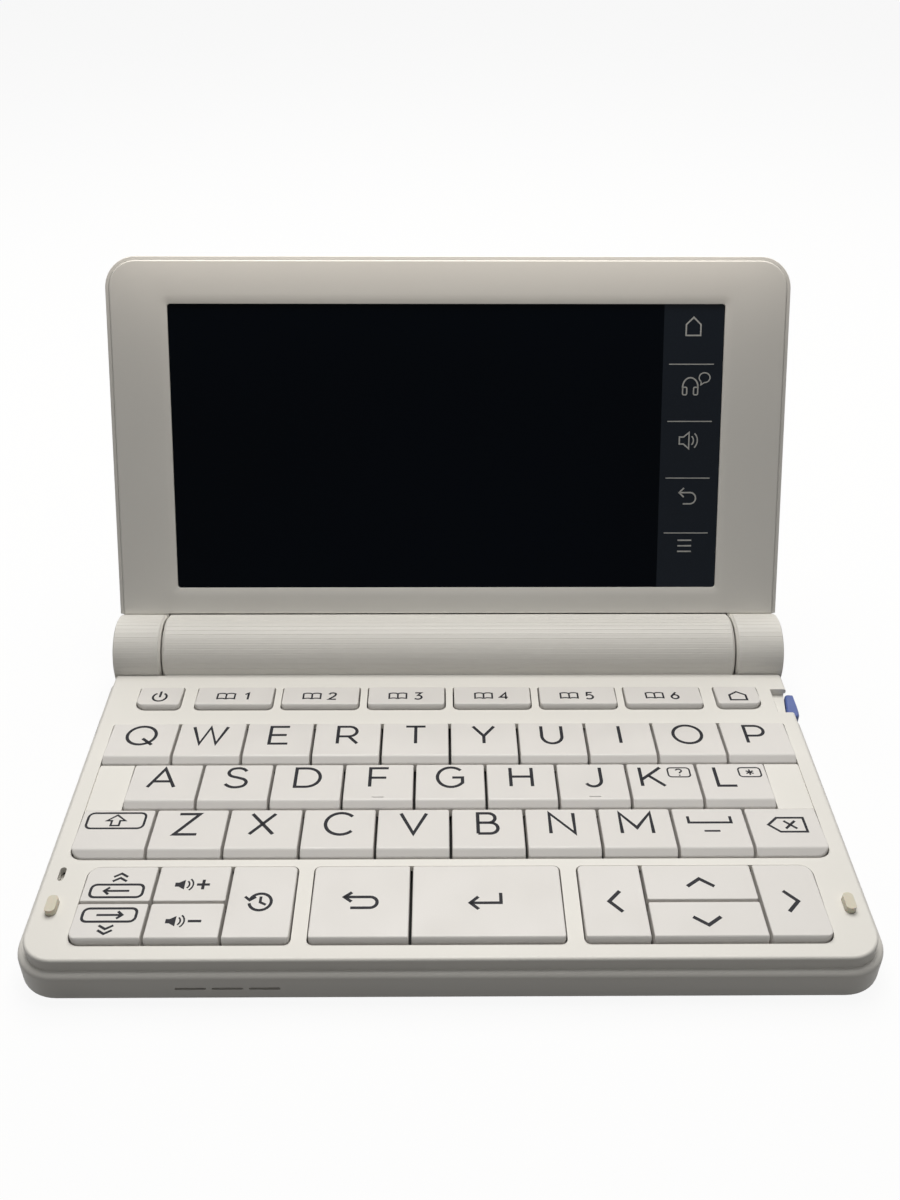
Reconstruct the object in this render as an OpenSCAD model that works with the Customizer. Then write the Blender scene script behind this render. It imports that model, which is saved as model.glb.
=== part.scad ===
// Pocket electronic dictionary: a keyboard case, a battery barrel and a hinged touch-screen lid.
// Built open, standing on its feet. X runs along the hinge, Y away from the user, Z up.

/* [Case] */
// Space between the outer letter keys and the lower case's sides
side_margin = 5; // [4.6:0.1:6]
// Height of the lower case's underside above the table
foot_h = 0.4; // [0.3:0.1:1]
// Height of the rim of the lower case above the table
rim_z = 6.6; // [6.4:0.1:7.2]
// Height of the keyboard plate above the table
plate_z = 9.2; // [9:0.1:10]
// How far the keyboard plate steps in from the rim at the sides
rim_step = 1.6; // [1:0.1:2.4]
// How far the keyboard plate steps back from the rim at the front
front_step = 1.25; // [1.2:0.05:1.6]
// Corner radius of the lower case, in plan
case_corner_r = 7.8; // [6:0.1:10]
// Thickness of the lower case's floor
floor_t = 1.4; // [1.2:0.1:1.5]
// Thickness of the lower case's wall
wall_t = 2.4; // [2.1:0.1:2.6]
// Thickness of the keyboard plate
plate_t = 1.4; // [1:0.1:1.5]
// Radius along the lower edge of the case
sole_edge_r = 0.5; // [0.4:0.1:2]
// Radius along the rim
rim_edge_r = 1.2; // [0.3:0.1:1.2]
// Radius along the edge of the keyboard plate
plate_edge_r = 0.6; // [0.3:0.1:1]

/* [Barrel and hinge] */
// Space between the upper key row and the barrel
rear_margin = 4.95; // [4.5:0.05:7]
// Outer radius of the barrel
barrel_r = 8.65; // [8.6:0.05:9]
// Wall of the barrel
barrel_wall = 1.1; // [0.8:0.05:1.2]
// Length of an end barrel with its gap
end_barrel_w = 11.1; // [9:0.1:12]
// How far the end barrels stand in from the lower case's sides
end_inset = 1.1; // [1:0.1:3]
// Length of a hinge unit inside the barrel
hinge_len = 8.2; // [7:0.1:12]
// Number of ribs around the barrel
rib_count = 48; // [36:1:60]
// Depth of the grooves between the ribs
rib_depth = 0.05; // [0.03:0.01:0.2]
// Radius of the hinge pins
pin_r = 3; // [2:0.1:3.5]
// Radial clearance of the hinge pins in the end barrels
pin_fit = 0.05; // [0.02:0.01:0.1]
// Clearance between the lid and the barrel that it turns around
turn_gap = 0.3; // [0.2:0.05:0.4]
// Space for the contacts at each end of the battery cells
contact_room = 3.2; // [2.8:0.1:5]
// Angle below the rear horizontal at which the battery cover begins
cover_top_angle = 10; // [9.5:0.5:20]
// Angle below the rear horizontal at which the battery cover ends
cover_low_angle = 105; // [95:1:110]

/* [Lid] */
// Opening angle of the lid from closed, as it stands
open_angle = 115; // [100:1:125]
// How far the lid stands in from the lower case's sides
lid_inset = 0.7; // [0.5:0.1:2]
// How far the closed lid stands back from the front of the case, or past it if negative
lid_front_inset = -0.4; // [-0.6:0.1:1.5]
// Distance from the hinge axis to the near corners of the lid
lid_near = 8.2; // [7:0.1:8.6]
// Offset of the lid's inner face behind the hinge axis
face_drop = 1.3; // [1.3:0.05:2]
// Thickness of the lid
lid_t = 6.2; // [6:0.1:7.4]
// Share of the lid's thickness taken by the front frame, in millimetres
frame_t = 3.25; // [3:0.05:3.6]
// Width of the back cover's rim around the front frame
lid_rim_w = 0.8; // [0.6:0.1:1]
// How far the rim lies below the front frame's face
lid_rim_drop = 0.35; // [0.2:0.05:0.6]
// Radius along the edge of the front frame's face
face_edge_r = 0.4; // [0.2:0.1:0.8]
// Radius of the far corners of the lid
lid_corner_r = 7; // [4:0.5:9]
// Radius along the back edge of the lid
back_edge_r = 2.2; // [1:0.1:2.6]
// Thickness of the lid's walls
lid_wall = 1.5; // [1:0.1:1.8]

/* [Screen] */
// Width of the lid's face beside the sloped recess around the screen
recess_side = 12; // [11.2:0.1:13]
// Width of the slope around the screen
recess_slope = 2; // [1.5:0.1:3]
// Depth of the slope
recess_depth = 0.5; // [0.3:0.05:1]
// How far the screen sits to the side of the lid's middle
screen_x = -0.45; // [-0.8:0.05:0.8]
// Distance from the hinge axis to the recess's near edge
recess_near = 12.8; // [12.3:0.1:14]
// Width of the lid's face beyond the recess
recess_end = 8.3; // [7:0.1:9]
// How far the touch panel reaches under the frame
panel_lap = 1.4; // [0.8:0.1:2]
// Thickness of the touch panel
panel_t = 0.7; // [0.5:0.1:1]
// Thickness of the display behind the touch panel
display_t = 2.3; // [1.8:0.1:2.4]

/* [Keys] */
// Spacing of the letter rows
row_pitch = 13; // [12.6:0.05:13.1]
// Space between the lower key groups and the first letter row
group_space = 2.3; // [2:0.1:3]
// Space between the last letter row and the upper key row
row_space = 5.15; // [4.8:0.05:6]
// Gap between neighbouring keys
key_gap = 0.55; // [0.4:0.05:0.8]
// Gap between the keys and the edges of the plate's openings
key_clear = 0.3; // [0.2:0.05:0.4]
// Height of the keys' front edge above the plate
key_rise = 1.15; // [0.6:0.05:1.2]
// Height of the keys' rear edge above the plate
key_rear_rise = 0.4; // [0.2:0.05:0.6]
// Length of the slope at the front of a letter key
key_slope = 1.5; // [1:0.1:2]
// Travel of a key
key_travel = 0.8; // [0.5:0.05:0.8]
// Depth of the keys below the top of the plate
key_depth = 2.1; // [1.9:0.05:2.2]
// Radius of the outer front corners of a group of keys
group_corner_r = 2.4; // [1.5:0.1:3]
// Distance from the case's front to the lower key groups
lower_y = 4.75; // [4.6:0.05:5.5]
// Length of the lower key groups, front to back
lower_len = 17.75; // [17:0.05:18]
// Length of the upper keys, front to back
upper_len = 7.3; // [6.5:0.1:8]
// Gap between two dictionary keys
dictionary_gap = 2.13; // [1.8:0.01:3]
// Gap between the dictionary keys and the power key and home key
corner_gap = 3.4; // [2.6:0.01:4]
// Width of the power key and of the home key
corner_key_w = 9.5; // [8.5:0.1:9.8]
// How far the power key and the home key stand in from the letter keys' ends
corner_inset = 3.3; // [3:0.05:4]

/* [Stylus] */
// Length of the stylus
stylus_len = 42; // [36:0.5:46]
// Width of the stylus's shaft
stylus_w = 1.8; // [1.6:0.1:2]
// Height of the stylus's shaft
stylus_h = 2.8; // [2.4:0.1:2.8]
// Length of the stylus's head
head_len = 7.6; // [6.5:0.1:8.5]
// Width of the stylus's head
head_w = 2.7; // [2.4:0.1:2.8]
// Height of the stylus's head
head_h = 5.6; // [4.6:0.1:5.6]
// Angle at which the stylus leans outwards to pass the barrel
stylus_yaw = 8.5; // [8:0.1:9]
// Distance from the hinge axis to the end of the stylus's head
head_to_hinge = 14.3; // [13.8:0.1:16]
// Free space around the stylus in its channel
stylus_clear = 0.25; // [0.15:0.05:0.3]

/* [Inside] */
// Thickness of the circuit board
board_t = 1; // [0.8:0.1:1.2]
// Space below the circuit board
board_lift = 1.6; // [1.5:0.1:1.7]
// Thickness of the silicone sheet under the keys
sheet_t = 0.6; // [0.4:0.1:0.8]
// Radius of a battery cell
cell_r = 7.1; // [6.9:0.05:7.15]
// Length of a battery cell
cell_len = 50.3; // [49.5:0.1:50.5]
// Radius of a screw's shank
screw_r = 0.9; // [0.8:0.05:1]
// Radius of a screw's head
screw_head_r = 1.8; // [1.6:0.1:1.9]
// Radius of the phone socket's bore
phone_r = 1.8; // [1.75:0.01:1.8]
// Depth of the phone socket's bore
phone_depth = 14; // [13:0.5:15]

/* [Hidden] */
$fn = 48;
tiny = 0.01;
air = 0.05;
skin = 0.3;

// Rows of keys by name, from the front of the case to the back
SHIFT_ROW = ["shift_key", "key_z", "key_x", "key_c", "key_v", "key_b", "key_n", "key_m",
    "space_key", "delete_key"];
HOME_ROW = ["key_a", "key_s", "key_d", "key_f", "key_g", "key_h", "key_j", "key_k", "key_l"];
TOP_ROW = ["key_q", "key_w", "key_e", "key_r", "key_t", "key_y", "key_u", "key_i", "key_o", "key_p"];
DICTIONARIES = 6;

// Width: the cells, hinges and end barrels set the barrel, the barrel sets the case, and ten letter
// keys fill the case
bulkhead_t = 1.4;
end_wall_t = 1.5;
cover_half = cell_len + contact_room;
bulkhead_x = cover_half + skin;
hinge_near = bulkhead_x + bulkhead_t + skin;
hinge_far = hinge_near + hinge_len;
barrel_half = hinge_far + 2 * air + end_wall_t;
barrel_end = barrel_half + end_barrel_w;
case_w = 2 * (barrel_end + end_inset);
key_pitch = (case_w - 2 * side_margin) / len(TOP_ROW);
lid_w = case_w - 2 * lid_inset;

// Depth: the key rows set the hinge, and the hinge sets the lid
letters_y = lower_y + lower_len + group_space;
upper_y = letters_y + 3 * row_pitch - key_gap + row_space;
hinge_y = upper_y + upper_len + rear_margin + barrel_r;
lid_reach = hinge_y - lid_front_inset;
head_y = hinge_y - head_to_hinge;

// Heights
floor_z = foot_h + floor_t;
plate_low = plate_z - plate_t;
key_top = plate_z + key_rise;
key_foot = plate_z - key_depth;
board_z = floor_z + board_lift;
sheet_z = board_z + board_t;
dome_top = key_foot - air;
barrel_lift = 0.25;
hinge_z = foot_h + barrel_r + barrel_lift;

// Plan of the case
plate_half = case_w / 2 - rim_step;
plate_corner_r = case_corner_r - rim_step;
case_rear = hinge_y - barrel_r + air * 7;
inner_half = case_w / 2 - wall_t;
cell_bay_r = barrel_r - barrel_wall;
clear_r = barrel_r + turn_gap;
end_gap = 0.4;
end_barrel_near = barrel_half + end_gap;

// Rear of the lid as it stands, which sets the middle of the whole object
lid_tilt = 180 - open_angle;
lid_back = face_drop + lid_t;
lid_rear = hinge_y + cos(lid_tilt) * (lid_reach - back_edge_r) + sin(lid_tilt) * (lid_back - back_edge_r)
    + back_edge_r;
front_y = -lid_rear / 2;

// Keys: name, left, right, front, rear, slope length, corner radii at front left, front right,
// rear left and rear right
letter_w = key_pitch - key_gap;
letter_len = row_pitch - key_gap;
half_gap = key_gap / 2;
small_r = 0.4;
edge_key_r = 2.2;
inner_key_r = 1;
pair_edge = 0.12;
line_w = 0.25;
line_depth = 0.35;
lower_slope = key_slope * 0.3;
lower_rear = lower_y + lower_len;
lower_split = lower_y + lower_len / 2;
upper_r = 1.2;

function row_keys(names, row) = [for (i = [0:len(names) - 1])
    let (left = (i - len(names) / 2) * key_pitch + key_gap / 2, y = letters_y + row * row_pitch)
    [names[i], left, left + letter_w, y, y + letter_len, key_slope,
        [row == 0 && i == 0 ? group_corner_r : small_r,
         row == 0 && i == len(names) - 1 ? group_corner_r : small_r, small_r, small_r]]];

function upper_key(name, left, width, radii) =
    [name, left, left + width, upper_y, upper_y + upper_len, lower_slope, radii];

function lower_key(name, left, right, front, rear, radii) =
    [name, left + key_gap / 2, right - key_gap / 2, front, rear, lower_slope, radii];

// Boundaries between the lower keys, from the left, in letter keys
LEFT_GROUP = key_pitch * [-4.68, -3.762, -2.817, -1.962];
MIDDLE_GROUP = key_pitch * [-1.769, -0.51, 1.41];
RIGHT_GROUP = key_pitch * [1.614, 2.445, 3.883, 4.68];
corner_key_end = 5 * key_pitch - half_gap - corner_inset;
dictionary_pitch = (2 * (corner_key_end - corner_key_w - corner_gap) + dictionary_gap) / DICTIONARIES;
dictionary_w = dictionary_pitch - dictionary_gap;
e = edge_key_r;
n = inner_key_r;
s = small_r;

KEYS = concat(
    [upper_key("power_key", -corner_key_end, corner_key_w, [group_corner_r, upper_r, s, s])],
    [for (i = [0:DICTIONARIES - 1]) upper_key(str("dictionary_key_", i + 1),
        (i - (DICTIONARIES - 1) / 2) * dictionary_pitch - dictionary_w / 2, dictionary_w,
        [upper_r, upper_r, s, s])],
    [upper_key("home_key", corner_key_end - corner_key_w, corner_key_w, [upper_r, group_corner_r, s, s])],
    row_keys(TOP_ROW, 2),
    row_keys(HOME_ROW, 1),
    row_keys(SHIFT_ROW, 0),
    [lower_key("previous_entry_key", LEFT_GROUP[0], LEFT_GROUP[1], lower_split + half_gap, lower_rear,
        [s, s, e, s]),
     lower_key("next_entry_key", LEFT_GROUP[0], LEFT_GROUP[1], lower_y, lower_split - half_gap,
         [e, s, s, s]),
     lower_key("volume_up_key", LEFT_GROUP[1], LEFT_GROUP[2], lower_split + half_gap, lower_rear,
        [s, s, s, s]),
     lower_key("volume_down_key", LEFT_GROUP[1], LEFT_GROUP[2], lower_y, lower_split - half_gap,
        [s, s, s, s]),
     lower_key("history_key", LEFT_GROUP[2], LEFT_GROUP[3], lower_y, lower_rear, [s, n, s, n]),
     lower_key("back_key", MIDDLE_GROUP[0], MIDDLE_GROUP[1], lower_y, lower_rear, [n, s, n, s]),
     lower_key("enter_key", MIDDLE_GROUP[1], MIDDLE_GROUP[2], lower_y, lower_rear, [s, n, s, n]),
     lower_key("left_key", RIGHT_GROUP[0], RIGHT_GROUP[1], lower_y, lower_rear, [n, s, n, s]),
     lower_key("up_key", RIGHT_GROUP[1], RIGHT_GROUP[2], lower_split + half_gap, lower_rear, [s, s, s, s]),
     lower_key("down_key", RIGHT_GROUP[1], RIGHT_GROUP[2], lower_y, lower_split - half_gap, [s, s, s, s]),
     lower_key("right_key", RIGHT_GROUP[2], RIGHT_GROUP[3], lower_y, lower_rear, [s, e, s, e])]);

// Places inside the case
barrel_split = plate_low + 0.2;
lip_drop = 1.2;
lip_t = 1;
band_t = 1.5;
boss_r = 2;
slim_boss_r = 1.5;
board_half = inner_half - 6.7;
board_front = 3.2;
board_rear = case_rear - 2.5;
// Chips: x and y of a corner as shares of the board, then width, length and height
CHIPS = [[0.06, 0.49, 13, 13, 1.2], [-0.32, 0.44, 11, 9, 1], [0.35, 0.62, 9, 12, 1],
    [0.55, 0.36, 7, 7, 0.9]];
row_space_y = upper_y - row_space / 2;
// Screws: x, y and the radius of the boss above
SCREWS = [
    [-plate_half + 4.7, 6.5, boss_r],
    [plate_half - 4.7, 6.5, boss_r],
    [(LEFT_GROUP[3] + MIDDLE_GROUP[0]) / 2, lower_split, slim_boss_r],
    [(MIDDLE_GROUP[2] + RIGHT_GROUP[0]) / 2, lower_split, slim_boss_r],
    [-3.45 * key_pitch, row_space_y, boss_r],
    [3.45 * key_pitch, row_space_y, boss_r]];
screw_head_t = 1;
screw_low = foot_h + 0.2;
boss_low = floor_z + 1.1;
screw_end = plate_low - 0.6;

// Feet: x, y and length across
foot_w = 10;
foot_len = 4.6;
foot_r = 2.2;
foot_x = case_w / 2 - 15.5;
rear_foot_x = barrel_half - 5.7;
FEET = [[-foot_x, 9.5], [foot_x, 9.5], [-rear_foot_x, hinge_y], [rear_foot_x, hinge_y]];

// Lid stops and microphone slot on the plate
stop_x = plate_half - 3.6;
stop_y = 13.1;
stop_w = 1.9;
stop_len = 3.8;
stop_top = hinge_z + face_drop - 0.15;
stop_seat = 0.9;
slot_x = -plate_half + 3.25;
slot_y = 21.1;
slot_w = 1.2;
slot_len = 3.3;

// Stylus, measured along its own axis from the end of its head
stylus_x = barrel_end + stylus_clear + head_w / 2 - tan(stylus_yaw) * (case_rear - head_y);
stylus_z = floor_z + 0.4;
nib_len = 4;
channel_top = stylus_z + stylus_h + stylus_clear;
block_top = channel_top + 0.6;
block_left = board_half + 0.5;
block_front = head_y - stylus_len - 2;
NOTCH = [plate_half - 3.7, head_y - head_len - 0.3, head_y + 0.1];
notch_slope = 0.8;
notch_z = plate_z - 1.65;
head_top = stylus_z + head_h + stylus_clear;

// Sound slots in the front wall: left and right ends
SOUND_SLOTS = [[-48.6, -43.1], [-42.1, -36.6], [-35.6, -30.1]];
sound_slot_z = 3.2;
sound_slot_h = 0.6;

// Sockets in the left side
socket_face = -inner_half + 0.1;
phone_face = -case_w / 2 + 0.2;
phone_gap = 0.15;
phone_z = floor_z + 2.15;
phone_block = [phone_depth + 1, 4.6, 4.2];
usb_y = 50;
usb_block = [inner_half - board_half - 0.2, 7.5, 2.6];
card_y = 30;
card_block = [15, 12.4, 1.4];
card_slot_h = 1;

// Lid, measured from the hinge axis
recess_far = lid_reach - recess_end;
recess_half = lid_w / 2 - recess_side;
window_half = recess_half - recess_slope;
window_near = recess_near + recess_slope;
window_far = recess_far - recess_slope;
window_lip = 0.5;
lid_face = -face_drop;
lid_seam = lid_face - frame_t;
lid_inner = lid_face - recess_depth - window_lip;
lid_half = lid_w / 2;
lid_cavity_near = clear_r + lid_wall;
lid_cavity_half = lid_half - lid_wall;
lid_cavity_far = lid_reach - lid_wall;
end_pocket = [pin_r + 1.6, barrel_r - 1.25];
end_bore_depth = end_barrel_w - end_gap - 1.7;
frame_half = lid_half - lid_rim_w - air;
frame_reach = lid_reach - lid_rim_w - air;
frame_corner_r = lid_corner_r - lid_rim_w - air;
seam_bevel = 0.6;
crease = 0.3;

shell_color = "#E9E5DE";
key_color = "#DEDBD7";

// ---------------------------------------------------------------- shapes

module in_case() {
    translate([0, front_y, 0])
        children();
}

module in_lid() {
    in_case()
        translate([0, hinge_y, hinge_z])
            rotate([lid_tilt, 0, 0])
                children();
}

// A flat shape drawn with its first axis along Y and its second along Z, drawn out along X
module along_x(left, right) {
    translate([left, 0, 0])
        rotate([90, 0, 90])
            linear_extrude(right - left)
                children();
}

// A rectangle with round corners: front left, front right, rear left and rear right
module outline(x0, x1, y0, y1, r) {
    corners = [[x0, y0, 1, 1], [x1, y0, -1, 1], [x0, y1, 1, -1], [x1, y1, -1, -1]];
    difference() {
        translate([x0, y0])
            square([x1 - x0, y1 - y0]);
        for (i = [0:3])
            translate([corners[i][0], corners[i][1]])
                difference() {
                    translate([corners[i][2] > 0 ? -tiny : -r[i], corners[i][3] > 0 ? -tiny : -r[i]])
                        square(r[i] + tiny);
                    translate([corners[i][2] * r[i], corners[i][3] * r[i]])
                        circle(r[i]);
                }
    }
}

// A slab with round corners in plan and a round edge of radius e along its top
module soft_slab(x0, x1, y0, y1, h, r, e) {
    steps = 4;
    hull()
        for (i = [0:steps])
            let (a = 90 * i / steps, inset = e * (1 - cos(a)))
                linear_extrude(h - e + e * sin(a))
                    outline(x0 + inset, x1 - inset, y0 + inset, y1 - inset, [for (v = r) v - inset]);
}

// The barrel's section: flats with a fine groove between each two
module ribbed_section(r) {
    step = 360 / rib_count;
    polygon([for (i = [0:rib_count - 1])
        each [for (p = [[-0.42, 0], [0.42, 0], [0.5, rib_depth]])
            (r - p[1]) * [cos((i + p[0]) * step), sin((i + p[0]) * step)]]]);
}

// A wedge of the barrel's section, from one angle to another, counted from the rear
module barrel_wedge(from, to) {
    polygon(concat([[0, 0]], [for (i = [0:6]) let (a = from + (to - from) * i / 6)
        1.5 * barrel_r * [cos(a), sin(a)]]));
}

module barrel_solid(half) {
    translate([0, hinge_y, hinge_z])
        along_x(-half, half)
            ribbed_section(barrel_r);
}

module barrel_bore(r, half) {
    translate([-half, hinge_y, hinge_z])
        rotate([0, 90, 0])
            cylinder(h = 2 * half, r = r);
}

// The space that the end barrels turn in, on both sides, and a small bevel at the barrel's ends
module end_barrel_space() {
    for (side = [-1, 1])
        translate([0, hinge_y, hinge_z])
            mirror([side > 0 ? 0 : 1, 0, 0])
                rotate([0, 90, 0])
                    translate([0, 0, barrel_half]) {
                        cylinder(h = case_w, r = clear_r);
                        translate([0, 0, -seam_bevel])
                            difference() {
                                cylinder(h = seam_bevel + tiny, r = clear_r);
                                translate([0, 0, -tiny])
                                    cylinder(h = seam_bevel + 3 * tiny, r1 = barrel_r + air,
                                        r2 = barrel_r - seam_bevel);
                            }
                    }
}

module along_stylus() {
    translate([stylus_x, head_y, 0])
        rotate([0, 0, -stylus_yaw])
            children();
}

module boss_holes(r) {
    for (p = SCREWS)
        translate([p[0], p[1], 0])
            cylinder(h = plate_z, r = p[2] + r);
}

// The opening in the plate around one key
module key_hole(x0, x1, y0, y1, r) {
    translate([0, 0, rim_z - tiny])
        linear_extrude(plate_z)
            outline(x0 - key_clear, x1 + key_clear, y0 - key_clear, y1 + key_clear,
                [for (v = r) v + key_clear]);
}

// ---------------------------------------------------------------- case

// What keeps a slab in front of the barrel: its rear edge, with small bevels at the corners
module rear_cut(half) {
    bevel = 1.2;
    linear_extrude(4 * plate_z, center = true)
        polygon([[-case_w, -1], [case_w, -1], [case_w, case_rear - bevel + half - case_w],
            [half - bevel, case_rear], [bevel - half, case_rear],
            [-case_w, case_rear - bevel + half - case_w]]);
}

module case_block() {
    half = case_w / 2;
    middle = sole_edge_r + 1;
    radii = [for (i = [0:3]) case_corner_r];
    past_rear = case_rear + 2 * case_corner_r;
    intersection() {
        union() {
            translate([0, 0, foot_h + middle - tiny])
                soft_slab(-half, half, 0, past_rear, rim_z - foot_h - middle + tiny, radii, rim_edge_r);
            translate([0, 0, foot_h + middle])
                mirror([0, 0, 1])
                    soft_slab(-half, half, 0, past_rear, middle, radii, sole_edge_r);
        }
        rear_cut(half);
    }
}

module bottom_case() {
    color(shell_color)
        in_case() {
            difference() {
                union() {
                    difference() {
                        case_block();
                        translate([0, 0, floor_z])
                            linear_extrude(rim_z)
                                outline(-inner_half, inner_half, wall_t, case_rear - band_t,
                                    [for (i = [0:3]) case_corner_r - wall_t]);
                    }
                    translate([block_left, block_front, floor_z - tiny])
                        cube([inner_half - block_left + 0.5, case_rear - block_front - band_t,
                            block_top - floor_z]);
                    intersection() {
                        union() {
                            barrel_solid(barrel_half);
                            translate([-barrel_half, case_rear - band_t - 1, foot_h + air])
                                cube([2 * barrel_half, hinge_y - case_rear + band_t + 1, floor_t]);
                        }
                        translate([-case_w, 0, 0])
                            cube([2 * case_w, 2 * hinge_y, barrel_split]);
                    }
                    for (p = SCREWS)
                        translate([p[0], p[1], floor_z - tiny])
                            cylinder(h = boss_low - floor_z - air, r = screw_head_r + 0.4);
                    for (p = FEET)
                        translate([p[0], p[1], 0])
                            linear_extrude(foot_h + floor_t / 2)
                                outline(-foot_w / 2, foot_w / 2, -foot_len / 2, foot_len / 2,
                                    [for (i = [0:3]) foot_r]);
                }
                barrel_bore(cell_bay_r, barrel_half + 1);
                translate([0, hinge_y, hinge_z])
                    along_x(-cover_half - air * 3, cover_half + air * 3)
                        barrel_wedge(-cover_low_angle - 1, 0);
                end_barrel_space();
                stylus_channel();
                case_screw_holes();
                sound_slots();
                socket_mouths();
            }
            bulkheads();
        }
}

// Walls across the barrel: two beside the batteries, and two at its ends, with the hinge pins' holes
module bulkheads() {
    difference() {
        for (side = [-1, 1])
            for (wall = [[bulkhead_x, bulkhead_t], [barrel_half - end_wall_t, end_wall_t]])
                translate([side > 0 ? wall[0] : -wall[0] - wall[1], hinge_y, hinge_z])
                    rotate([0, 90, 0]) {
                        cylinder(h = wall[1], r = cell_bay_r - air);
                        intersection() {
                            cylinder(h = wall[1], r = cell_bay_r + 0.5);
                            translate([hinge_z - barrel_split, -2 * barrel_r, -1])
                                cube([2 * barrel_r, 4 * barrel_r, wall[1] + 2]);
                        }
                    }
        for (side = [-1, 1])
            translate([side > 0 ? barrel_half - end_wall_t - 0.5 : -barrel_half - 1, hinge_y, hinge_z])
                rotate([0, 90, 0])
                    cylinder(h = end_wall_t + 1.5, r = pin_r + skin);
    }
}

module stylus_channel() {
    half = stylus_w / 2 + stylus_clear;
    wide = head_w / 2 + stylus_clear;
    along_stylus() {
        translate([-half, -stylus_len - 0.6, stylus_z - stylus_clear])
            cube([2 * half, stylus_len, channel_top - stylus_z + stylus_clear]);
        translate([-wide, -head_len - 0.4, stylus_z - stylus_clear])
            cube([case_w, case_rear, plate_z]);
    }
}

// The way out for the stylus's head below the plate, and the notch above it with its slope
module stylus_notch() {
    wide = head_w / 2 + stylus_clear;
    along_stylus()
        translate([-wide, -head_len - 0.4, 0])
            cube([case_w, case_rear, head_top]);
    translate([0, NOTCH[1], 0])
        rotate([90, 0, 0])
            mirror([0, 0, 1])
                linear_extrude(NOTCH[2] - NOTCH[1])
                    polygon([[NOTCH[0] - notch_slope, 2 * plate_z - notch_z],
                        [NOTCH[0] + notch_slope, notch_z], [case_w, notch_z], [case_w, 2 * plate_z]]);
}

module case_screw_holes() {
    for (p = SCREWS)
        translate([p[0], p[1], -tiny]) {
            cylinder(h = screw_low + screw_head_t + air + tiny, r = screw_head_r + 0.15);
            cylinder(h = plate_z, r = screw_r + 0.15);
        }
}

module sound_slots() {
    for (s = SOUND_SLOTS)
        translate([0, wall_t + 1, sound_slot_z])
            rotate([90, 0, 0])
                linear_extrude(wall_t + 2)
                    outline(s[0], s[1], -sound_slot_h / 2, sound_slot_h / 2,
                        [for (i = [0:3]) sound_slot_h / 2 - tiny]);
}

module socket_mouths() {
    reach = wall_t + 2;
    phone_half = [phone_block[1] / 2 + phone_gap, phone_block[2] / 2 + phone_gap];
    translate([-case_w / 2 - 1, 0, 0]) {
        along_x(0, reach)
            outline(row_space_y - phone_half[0], row_space_y + phone_half[0], phone_z - phone_half[1],
                phone_z + phone_half[1], [for (i = [0:3]) phone_gap]);
        along_x(0, reach)
            outline(usb_y - usb_block[1] / 2 - 0.3, usb_y + usb_block[1] / 2 + 0.3, floor_z + 0.1,
                floor_z + usb_block[2] + 0.3, [for (i = [0:3]) 0.9]);
        along_x(0, reach)
            outline(card_y - card_block[1] / 2 + 0.3, card_y + card_block[1] / 2 - 0.3, floor_z + 0.25,
                floor_z + 0.25 + card_slot_h, [for (i = [0:3]) 0.3]);
    }
}

module top_case() {
    half = plate_half - band_t;
    inner_r = plate_corner_r - band_t;
    lip_half = inner_half - 0.1;
    lip_r = case_corner_r - wall_t;
    color(shell_color)
        in_case()
            difference() {
                union() {
                    difference() {
                        union() {
                            intersection() {
                                translate([0, 0, rim_z])
                                    soft_slab(-plate_half, plate_half, front_step, case_rear + case_corner_r,
                                        plate_z - rim_z, [for (i = [0:3]) plate_corner_r], plate_edge_r);
                                rear_cut(plate_half);
                            }
                            translate([0, 0, rim_z - lip_drop])
                                linear_extrude(lip_drop + tiny)
                                    outline(-lip_half, lip_half, wall_t + 0.1, case_rear - band_t - 0.1,
                                        [for (i = [0:3]) lip_r]);
                        }
                        difference() {
                            translate([0, 0, rim_z])
                                linear_extrude(plate_low - rim_z)
                                    outline(-half, half, rim_step + band_t, case_rear - band_t,
                                        [for (i = [0:3]) inner_r]);
                            translate([NOTCH[0] - 1, NOTCH[1] - 1, 0])
                                cube([case_w, NOTCH[2] - NOTCH[1] + 2, plate_z]);
                        }
                        translate([0, 0, rim_z - lip_drop - tiny])
                            linear_extrude(lip_drop + 3 * tiny)
                                outline(-lip_half + lip_t, lip_half - lip_t, wall_t + lip_t,
                                    case_rear - band_t + 1, [for (i = [0:3]) lip_r - lip_t]);
                        translate([block_left - 0.2, block_front - 0.2, 0])
                            cube([case_w, hinge_y, rim_z - air]);
                        phone_socket_space(rim_z);
                        intersection() {
                            barrel_bore(barrel_r + air, barrel_half);
                            translate([-case_w, 0, 0])
                                cube([2 * case_w, 2 * hinge_y, barrel_split]);
                        }
                    }
                    intersection() {
                        barrel_solid(barrel_half);
                        translate([-case_w, 0, barrel_split])
                            cube([2 * case_w, 2 * hinge_y, 2 * barrel_r]);
                    }
                    for (p = SCREWS)
                        translate([p[0], p[1], boss_low])
                            cylinder(h = plate_low - boss_low + tiny, r = p[2]);
                }
                barrel_bore(cell_bay_r, barrel_half + 1);
                end_barrel_space();
                key_holes();
                for (p = SCREWS)
                    translate([p[0], p[1], boss_low - tiny])
                        cylinder(h = plate_low - boss_low, r = screw_r + 0.02);
                stylus_notch();
                translate([0, 0, plate_z - stop_seat])
                    linear_extrude(plate_z)
                        lid_stop_plans(air);
                translate([0, 0, rim_z])
                    linear_extrude(plate_z)
                        outline(slot_x - slot_w / 2, slot_x + slot_w / 2, slot_y - slot_len / 2,
                            slot_y + slot_len / 2, [for (i = [0:3]) slot_w / 2 - tiny]);
            }
}

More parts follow.
